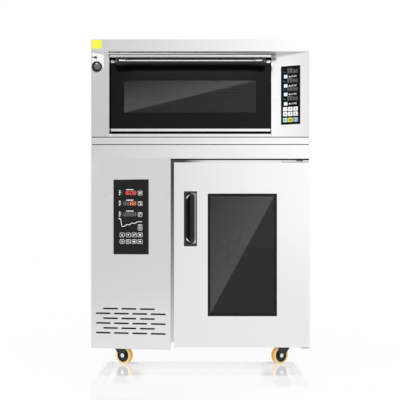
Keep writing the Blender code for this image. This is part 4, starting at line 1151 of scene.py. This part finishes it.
def plainPlates():
    x0, x1, z0, z1 = plates["yellow"]
    form = bmesh.new()
    addPrism(form, roundedRect(x0, x1, z0, z1, 0.003), 0.0003, -plates["thick"], edge=0.0003)
    place = Matrix.Translation((0, frontY + 0.0004, 0))
    addPiece("header_plate", meshFrom(form), yellowCoat, "cabinet", place)
    place = postFace(*switchDome["spot"])
    clear, steps = plates["clear"], plates["steps"]
    left, right, top = plates["white"]
    outline = [(right, 0.0), (right, top), (left, top)]
    start = 180 - math.degrees(math.acos(-left / clear))
    for step in range(steps + 1):
        angle = math.radians(start * (1 - step / steps))
        outline.append((clear * math.cos(angle), clear * math.sin(angle)))
    form = bmesh.new()
    addPrism(form, outline, 0.0002, -plates["thick"])
    addPiece("switch_plate", meshFrom(form), whiteGlowPlate, "cabinet", place)
    # a small lamp sign: bulb, cap and rays
    form = bmesh.new()
    u, v = lampSign["spot"]
    back, front = -plates["thick"] + 0.0001, -plates["thick"] - 0.0003
    addPrism(form, circleOutline(u, v, lampSign["bulb"], 20), back, front)
    u0, u1, half = lampSign["cap"]
    addPrism(form, roundedRect(u + u0, u + u1, v - half, v + half, 0.001, 2), back, front)
    near, far, half = lampSign["ray"]
    for angle in lampSign["rays"]:
        turn = math.radians(angle)
        along = (math.cos(turn), math.sin(turn))
        outline = [(u + along[0] * r + along[1] * s, v + along[1] * r - along[0] * s)
                   for r, s in ((near, -half), (far, -half), (far, half), (near, half))]
        addPrism(form, outline, back, front)
    addPiece("switch_sign", meshFrom(form), inks["dark"], "cabinet", place)


plainPlates()
print("plates made")


# Machine bay: a dark pleated sheet behind the vents, painted shade for the bay's dark inside

bayVentShade = {"left": 0.030, "right": 0.425, "low": 0.158, "high": 0.345, "behind": 0.0045,
             "pitch": 0.0060, "wave": 0.0012, "thick": 0.0010}


def ventFilter():
    # Pleated dark strip, painted shade behind the vents, written along the slanted cover from its
    # left edge
    look = bayVentShade
    form = bmesh.new()
    count = round((look["right"] - look["left"]) / look["pitch"])
    rows = []
    for step in range(count + 1):
        u = look["left"] + look["pitch"] * step
        y = look["behind"] + look["wave"] * (step % 2)
        ring = [(u, y, look["low"]), (u, y, look["high"]),
                (u, y + look["thick"], look["high"]), (u, y + look["thick"], look["low"])]
        rows.append([form.verts.new(p) for p in ring])
    bridge(form, rows)
    form.faces.new(rows[0])
    form.faces.new(rows[-1])
    place = faceOf(-skinEdge, 0, 0, bayTurn)
    addPiece("bay_vent_shade", meshFrom(form), ventShadeFoam, "cabinet", place)


ventFilter()
print("bay filter made")


# Casters: tyre, hub, nuts and top plate

caster = {"radius": 0.0485, "width": 0.0330, "shoulder": 0.0055, "seat": 0.0375,
          "bore": 0.0066, "ribs": 6, "trail": 0.037,
          "swivels": {"front_left": (-0.462, 0.075, -30), "front_right": (0.481, 0.075, 210),
                      "rear_left": (-0.462, 0.785, 20), "rear_right": (0.481, 0.785, 160)}}


def tyreMesh():
    look = caster
    half, shoulder = look["width"] / 2, look["shoulder"]
    profile = [(look["seat"], half - 0.001), (look["seat"] + 0.0035, half)]
    for step in range(7):
        angle = math.radians(90 * step / 6)
        profile.append((look["radius"] - shoulder * (1 - math.sin(angle)),
                        half - shoulder * 0.75 * (1 - math.cos(angle))))
    profile += [(radius, -along) for radius, along in reversed(profile)]
    form = bmesh.new()
    addLathe(form, profile, 72, closed=True)
    return meshFrom(form, smoothAngle=50)


def hubMesh():
    look = caster
    half = look["width"] / 2
    seat = look["seat"] - 0.0002
    side = [(look["bore"], half), (0.0130, half), (0.0150, half - 0.0030),
            (0.0165, half - 0.0062), (0.0315, half - 0.0062), (0.0335, half - 0.0015),
            (0.0350, half - 0.0005), (seat, half - 0.0012)]
    profile = side + [(radius, -along) for radius, along in reversed(side)]
    form = bmesh.new()
    addLathe(form, profile, 60, closed=True)
    for rib in range(look["ribs"]):
        turn = Matrix.Rotation(2 * math.pi * rib / look["ribs"], 4, "Y")
        for face in (1, -1):
            low, high = sorted((face * (half - 0.0075), face * (half - 0.0022)))
            addBox(form, (0.0140, low, -0.0016), (0.0335, high, 0.0016), 0.0006, place=turn)
    return meshFrom(form)


axleNut = {"seat": 0.02055,
           # radius and height above the seat; the number of sides comes first
           "turned": ((28, ((0.0, -0.0002), (0.0118, -0.0002), (0.0118, 0.0008), (0.0, 0.0008))),
                      (6, ((0.0, 0.0), (0.0098, 0.0), (0.0098, 0.0042), (0.0088, 0.0050),
                           (0.0, 0.0050))),
                      (24, ((0.0, 0.0040), (0.0066, 0.0040), (0.0056, 0.0062), (0.0030, 0.0070),
                            (0.0, 0.0072))))}


def nutMesh():
    # Domed lock nut on a washer, at both ends of the axle
    form = bmesh.new()
    for face in (1, -1):
        for sides, profile in axleNut["turned"]:
            addLathe(form, [(radius, face * axleNut["seat"] + face * height)
                            for radius, height in profile], sides)
    return meshFrom(form)


def casters():
    low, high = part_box("caster_wheel_front_left")
    axleHeight = (low[2] + high[2]) / 2
    tyre, hub, nut = tyreMesh(), hubMesh(), nutMesh()
    for name, (x, depth, angle) in caster["swivels"].items():
        place = Matrix.Translation((x, frontY + depth, 0))
        place = place @ Matrix.Rotation(math.radians(angle), 4, "Z")
        place = place @ Matrix.Translation((caster["trail"], 0, axleHeight))
        wheel = "wheel_" + name
        addPiece("tyre_" + name, tyre.copy(), tyreAmber, wheel, place,
                 ["caster_wheel_" + name])
        addPiece("hub_" + name, hub.copy(), hubPlastic, wheel, place,
                 ["caster_wheel_" + name])
        addPiece("axle_nuts_" + name, nut.copy(), baseSteel, "swivel_" + name,
                 place)


casters()


casterPlate = {"size": (0.050, 0.042), "corner": 0.006, "hole": 0.0275, "low": 0.1252,
               "high": 0.1278, "bolts": (0.039, 0.031), "bolt": 0.0062}


def casterPlates():
    # Top plates with four bolts each, under the base frame
    look = casterPlate
    lay = Matrix.Rotation(math.radians(90), 4, "X")  # depth of an outline becomes height
    for name, (x, depth, _) in caster["swivels"].items():
        form = bmesh.new()
        outer = roundedRect(-look["size"][0], look["size"][0], -look["size"][1], look["size"][1],
                            look["corner"], 11)
        hole = circleOutline(0.0, 0.0, look["hole"], 48, math.radians(3.75))
        addRing(form, outer, hole, look["high"], look["low"], edge=0.0005)
        for u in (-1, 1):
            for v in (-1, 1):
                spot = Matrix.Translation((u * look["bolts"][0], 0.0, v * look["bolts"][1]))
                low = look["low"]
                addLathe(form, [(look["bolt"] + 0.002, low + 0.0002),
                                (look["bolt"] + 0.002, low - 0.0012), (0.0, low - 0.0012)],
                         24, spot)
                addLathe(form, [(look["bolt"], low - 0.0008), (look["bolt"], low - 0.0046),
                                (look["bolt"] * 0.85, low - 0.0053), (0.0, low - 0.0053)],
                         6, spot)
        place = Matrix.Translation((x, frontY + depth, 0.0)) @ lay
        addPiece("caster_plate_" + name, meshFrom(form), zincFitting, "cabinet",
                 place)


casterPlates()
print("casters made")


# Screws on the back

backScrews = (  # heights, and the places across
    ((1.265, 1.725), (-0.58, -0.30, 0.0, 0.30, 0.58)),
    ((1.500,), (-0.58, 0.58)),
    ((0.170, 1.205), (-0.58, -0.20, 0.20, 0.58)),
    ((0.500, 0.850), (-0.58, 0.58)),
)


def screws():
    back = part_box("oven_back")[1][1]
    places = [(x, back, z) for heights, across in backScrews for z in heights for x in across]
    addPiece("back_screws", screwHeads(places, (0, 1, 0)), [zincFitting, inks["dark"]],
             "cabinet")


screws()
print("screws made")


# Floor, lights and camera

stageLook = {"white": 0.92, "ownLight": 0.94, "roughness": 0.06, "ior": 1.62, "size": 60.0,
             # gloss of the sheet under the front casters: depths and levels, front to rear
             "gloss": ((-0.300, 0.34), (-0.270, 1.0), (0.085, 1.0), (0.130, 0.0)),
             "reach": (0.70, 0.95, -1.10, -0.85),  # half width and front edge of that sheet
             "mirrored": (0.74, 1.0, -2.1, -0.7)}  # how steel sees the floor, left to right


def floorMaterial():
    # White where nothing shades it, with the object's shadow and a faint mirror image
    look = stageLook
    material = bpy.data.materials.new("floor")
    material.use_nodes = True
    wires = Wires(material.node_tree)
    tree = material.node_tree
    tree.nodes.clear()
    place = wires.split(wires.place())
    rays = wires.add("LightPath")
    seen = wires.math("MAXIMUM", rays.outputs["Is Camera Ray"], rays.outputs["Is Glossy Ray"])
    seen = wires.math("MAXIMUM", seen, rays.outputs["Is Transmission Ray"])
    share = wires.math("MULTIPLY", seen, look["ownLight"])
    matt = wires.add("BsdfDiffuse", Color=rgba([look["white"]] * 3))
    level = wires.spread(place["X"], *look["mirrored"])
    level = wires.add("Mix", Factor=rays.outputs["Is Camera Ray"], A=level, B=1.0).outputs[0]
    glow = wires.add("Emission", Color=level, Strength=1.0)
    base = wires.add("MixShader", Fac=share)
    tree.links.new(matt.outputs[0], base.inputs[1])
    tree.links.new(glow.outputs[0], base.inputs[2])
    gloss = wires.add("BsdfAnisotropic", Color=(1, 1, 1, 1), Roughness=look["roughness"])
    fresnel = wires.add("Fresnel", IOR=look["ior"])
    depth = wires.math("SUBTRACT", place["Y"], frontY)
    (d0, low), (d1, top), (d2, _), (d3, end) = look["gloss"]
    x0, x1, d4, d5 = look["reach"]
    share = fresnel.outputs[0]
    for fade in (wires.spread(depth, low, top, d0, d1, True),
                 wires.spread(depth, top, end, d2, d3, True),
                 wires.spread(depth, 0.0, 1.0, d4, d5, True),
                 wires.spread(wires.math("ABSOLUTE", place["X"]), 1.0, 0.0, x0, x1, True)):
        share = wires.math("MULTIPLY", share, fade)
    whole = wires.add("MixShader", Fac=share)
    tree.links.new(base.outputs[0], whole.inputs[1])
    tree.links.new(gloss.outputs[0], whole.inputs[2])
    out = wires.add("OutputMaterial")
    tree.links.new(whole.outputs[0], out.inputs["Surface"])
    return material


def addFloor():
    half = stageLook["size"] / 2
    mesh = bpy.data.meshes.new("floor")
    mesh.from_pydata([(-half, -half, 0), (half, -half, 0), (half, half, 0), (-half, half, 0)],
                     [], [(0, 1, 2, 3)])
    mesh.materials.append(floorMaterial())
    floor = bpy.data.objects.new("floor", mesh)
    bpy.context.scene.collection.objects.link(floor)


studio = {"behind": 0.98, "ceiling": 0.30, "matt": 0.92, "range": 1.8,
          "turnBack": (-0.25, 0.25), "turnUp": (0.66, 0.88),  # where the walls give way
          # level of the walls in front, from the left (-1) to the right (1)
          "walls": ((-1.0, 0.80), (-0.66, 1.30), (-0.56, 1.60), (-0.523, 1.50), (-0.48, 0.14),
                    (-0.425, 0.50), (-0.365, 1.20), (-0.295, 0.60), (-0.20, 0.58), (-0.14, 0.68),
                    (0.0, 0.99), (0.14, 1.28), (0.27, 1.50), (0.38, 1.10), (0.46, 0.54),
                    (0.52, 0.50), (0.57, 0.62), (0.68, 0.68), (1.0, 0.85))}


def addWorld():
    look = studio
    world = bpy.data.worlds.new("studio")
    bpy.context.scene.world = world
    world.use_nodes = True
    tree = world.node_tree
    tree.nodes.clear()
    wires = Wires(tree)
    way = wires.add("SeparateXYZ", Vector=wires.add("TexCoord").outputs["Generated"])
    ramp = wires.add("ValToRGB", Fac=wires.math("MULTIPLY_ADD", way.outputs["X"], 0.5, 0.5))
    stops = ramp.color_ramp.elements
    for number, (place, level) in enumerate(look["walls"]):
        place = (place + 1) / 2
        stop = stops.new(place) if 0 < number < len(look["walls"]) - 1 else stops[-bool(number)]
        stop.color = rgba([level / look["range"]] * 3)
    side = wires.math("MULTIPLY", ramp.outputs["Color"], look["range"])
    back = wires.spread(way.outputs["Y"], 0.0, 1.0, *look["turnBack"], True)
    level = wires.add("Mix", Factor=back, A=side, B=look["behind"]).outputs[0]
    high = wires.spread(way.outputs["Z"], 0.0, 1.0, *look["turnUp"], True)
    level = wires.add("Mix", Factor=high, A=level, B=look["ceiling"]).outputs[0]
    rays = wires.add("LightPath")
    matt = rays.outputs["Is Diffuse Ray"]
    level = wires.add("Mix", Factor=matt, A=level, B=look["matt"]).outputs[0]
    level = wires.add("Mix", Factor=rays.outputs["Is Camera Ray"], A=level, B=1.0).outputs[0]
    background = wires.add("Background", Color=level, Strength=1.0)
    out = wires.add("OutputWorld")
    tree.links.new(background.outputs[0], out.inputs["Surface"])


def fadeLamp(data, start, end):
    # Full light at one long edge of the lamp, less towards the other
    data.use_nodes = True
    wires = Wires(data.node_tree)
    across = wires.add("NewGeometry").outputs["Parametric"]
    across = wires.add("SeparateXYZ", Vector=across).outputs["Y"]
    glow = data.node_tree.nodes["Emission"]
    wires.put(glow.inputs["Strength"], wires.spread(across, start, end))


def addSoftbox(name, look, targets=(), roll=0.0):
    centre, size = look["centre"], look["size"]
    data = bpy.data.lights.new(name, "AREA")
    data.shape = "RECTANGLE"
    data.size, data.size_y = size
    data.energy = look["radiance"] * math.pi * size[0] * size[1]
    lamp = bpy.data.objects.new(name, data)
    bpy.context.scene.collection.objects.link(lamp)
    turn = (Vector(look["aim"]) - Vector(centre)).to_track_quat("-Z", "Y").to_matrix().to_4x4()
    lamp.matrix_world = Matrix.Translation(centre) @ turn @ Matrix.Rotation(roll, 4, "Z")
    lamp.visible_camera = False
    if targets:  # a lamp that is set up for these pieces only
        group = bpy.data.collections.new(name + "_targets")
        for target in targets:
            group.objects.link(bpy.data.objects[target])
        lamp.light_linking.receiver_collection = group
    return lamp


lights = {
    "key": {"centre": (2.4, -3.0, 4.0), "aim": (0, 0, 0.9), "size": (2.2, 1.6), "radiance": 1.6},
    "fill": {"centre": (-3.4, -2.4, 3.0), "aim": (0, 0, 0.9), "size": (1.8, 1.8),
             "radiance": 1.0},
    "underHandle": {"along": 1.30, "across": 0.055, "radiance": 9.0, "y": -3.4,
                    "fade": (1, 0.30), "start": (-0.405, 1.676), "end": (0.345, 1.670)},
    "ovenWindow": {"along": 2.6, "across": 0.32, "radiance": 2.1, "y": -3.0, "fade": (1, 0)},
    "prooferWindow": {"along": 2.4, "across": 0.68, "radiance": 2.0, "y": -3.0,
                      "fade": (1, 0)},
    "handle": {"centre": (0.0, -3.2, 3.15), "aim": (-0.055, -0.396, 1.70), "size": (2.5, 1.7),
               "radiance": 62.0},
    "handleEnd": {"centre": (3.0, -1.3, 2.0), "aim": (0.45, frontY, 1.70), "size": (1.0, 1.4),
                  "radiance": 16.0},  # for the right end; the left one mirrors it
    "switch": {"centre": (0.17, -2.15, 3.14), "aim": (-0.58, -0.41, 1.67),
               "size": (0.70, 0.40), "radiance": 40.0},
}
view = {"place": (-0.002, -4.414, 0.745), "lens": 64.4, "sensor": 36.0, "shiftY": 0.08}


def mirrored(point, glassY, planeY):
    # Where the camera's ray lands on the plane y = planeY after the glass mirrors it
    eye = Vector(view["place"])
    step = (glassY - planeY) / (glassY - eye.y)
    return Vector((point[0] + (point[0] - eye.x) * step, point[1] + (point[1] - eye.z) * step))


def addWindowLight(name, glass, start, end, look, target):
    # A softbox whose lower right edge is seen in the glass from corner to corner
    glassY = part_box(glass)[0][1]
    low = mirrored(start, glassY, look["y"])
    high = mirrored(end, glassY, look["y"])
    along = (high - low).normalized()
    side = Vector((-along.y, along.x))
    centre = (low + high) / 2 + side * look["across"] / 2
    roll = math.atan2(along.y, along.x)
    box = {"centre": (centre.x, look["y"], centre.y), "aim": (centre.x, 0.0, centre.y),
           "size": (look["along"], look["across"]), "radiance": look["radiance"]}
    lamp = addSoftbox(name, box, [target], roll)
    fadeLamp(lamp.data, *look["fade"])


def addLights():
    for name in ("key", "fill"):
        addSoftbox(name, lights[name])
    x0, x1, z0, z1 = ovenWindow()
    addWindowLight("oven_window_box", "oven_door_glass", (x0, z0), (x1, z1),
                   lights["ovenWindow"], "door_glass_pane")
    look = lights["underHandle"]
    addWindowLight("under_handle_box", "oven_door_glass", look["start"], look["end"], look,
                   "door_glass_border")
    low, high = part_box("proofer_window_glass")
    addWindowLight("proofer_window_box", "proofer_window_glass", (low[0], low[2]),
                   (high[0], high[2]), lights["prooferWindow"], "proofer_window_glass")
    addSoftbox("handle_box", lights["handle"],
               ["oven_handle_tube", "handle_end_left", "handle_end_right"])
    for name, side in (("left", -1), ("right", 1)):
        look = dict(lights["handleEnd"])
        for key in ("centre", "aim"):
            look[key] = (side * look[key][0], *look[key][1:])
        addSoftbox("handle_end_box_" + name, look, ["handle_end_" + name])
    addSoftbox("switch_box", lights["switch"], ["switch_dome", "switch_bezel"])


def addCamera():
    data = bpy.data.cameras.new("camera")
    data.lens = view["lens"]
    data.sensor_width = view["sensor"]
    data.shift_y = view["shiftY"]
    camera = bpy.data.objects.new("camera", data)
    bpy.context.scene.collection.objects.link(camera)
    camera.location = view["place"]
    camera.rotation_euler = (math.radians(90), 0, 0)
    bpy.context.scene.camera = camera


addFloor()
addWorld()
addLights()
addCamera()
bpy.context.scene.view_settings.view_transform = "Standard"
print("stage set")
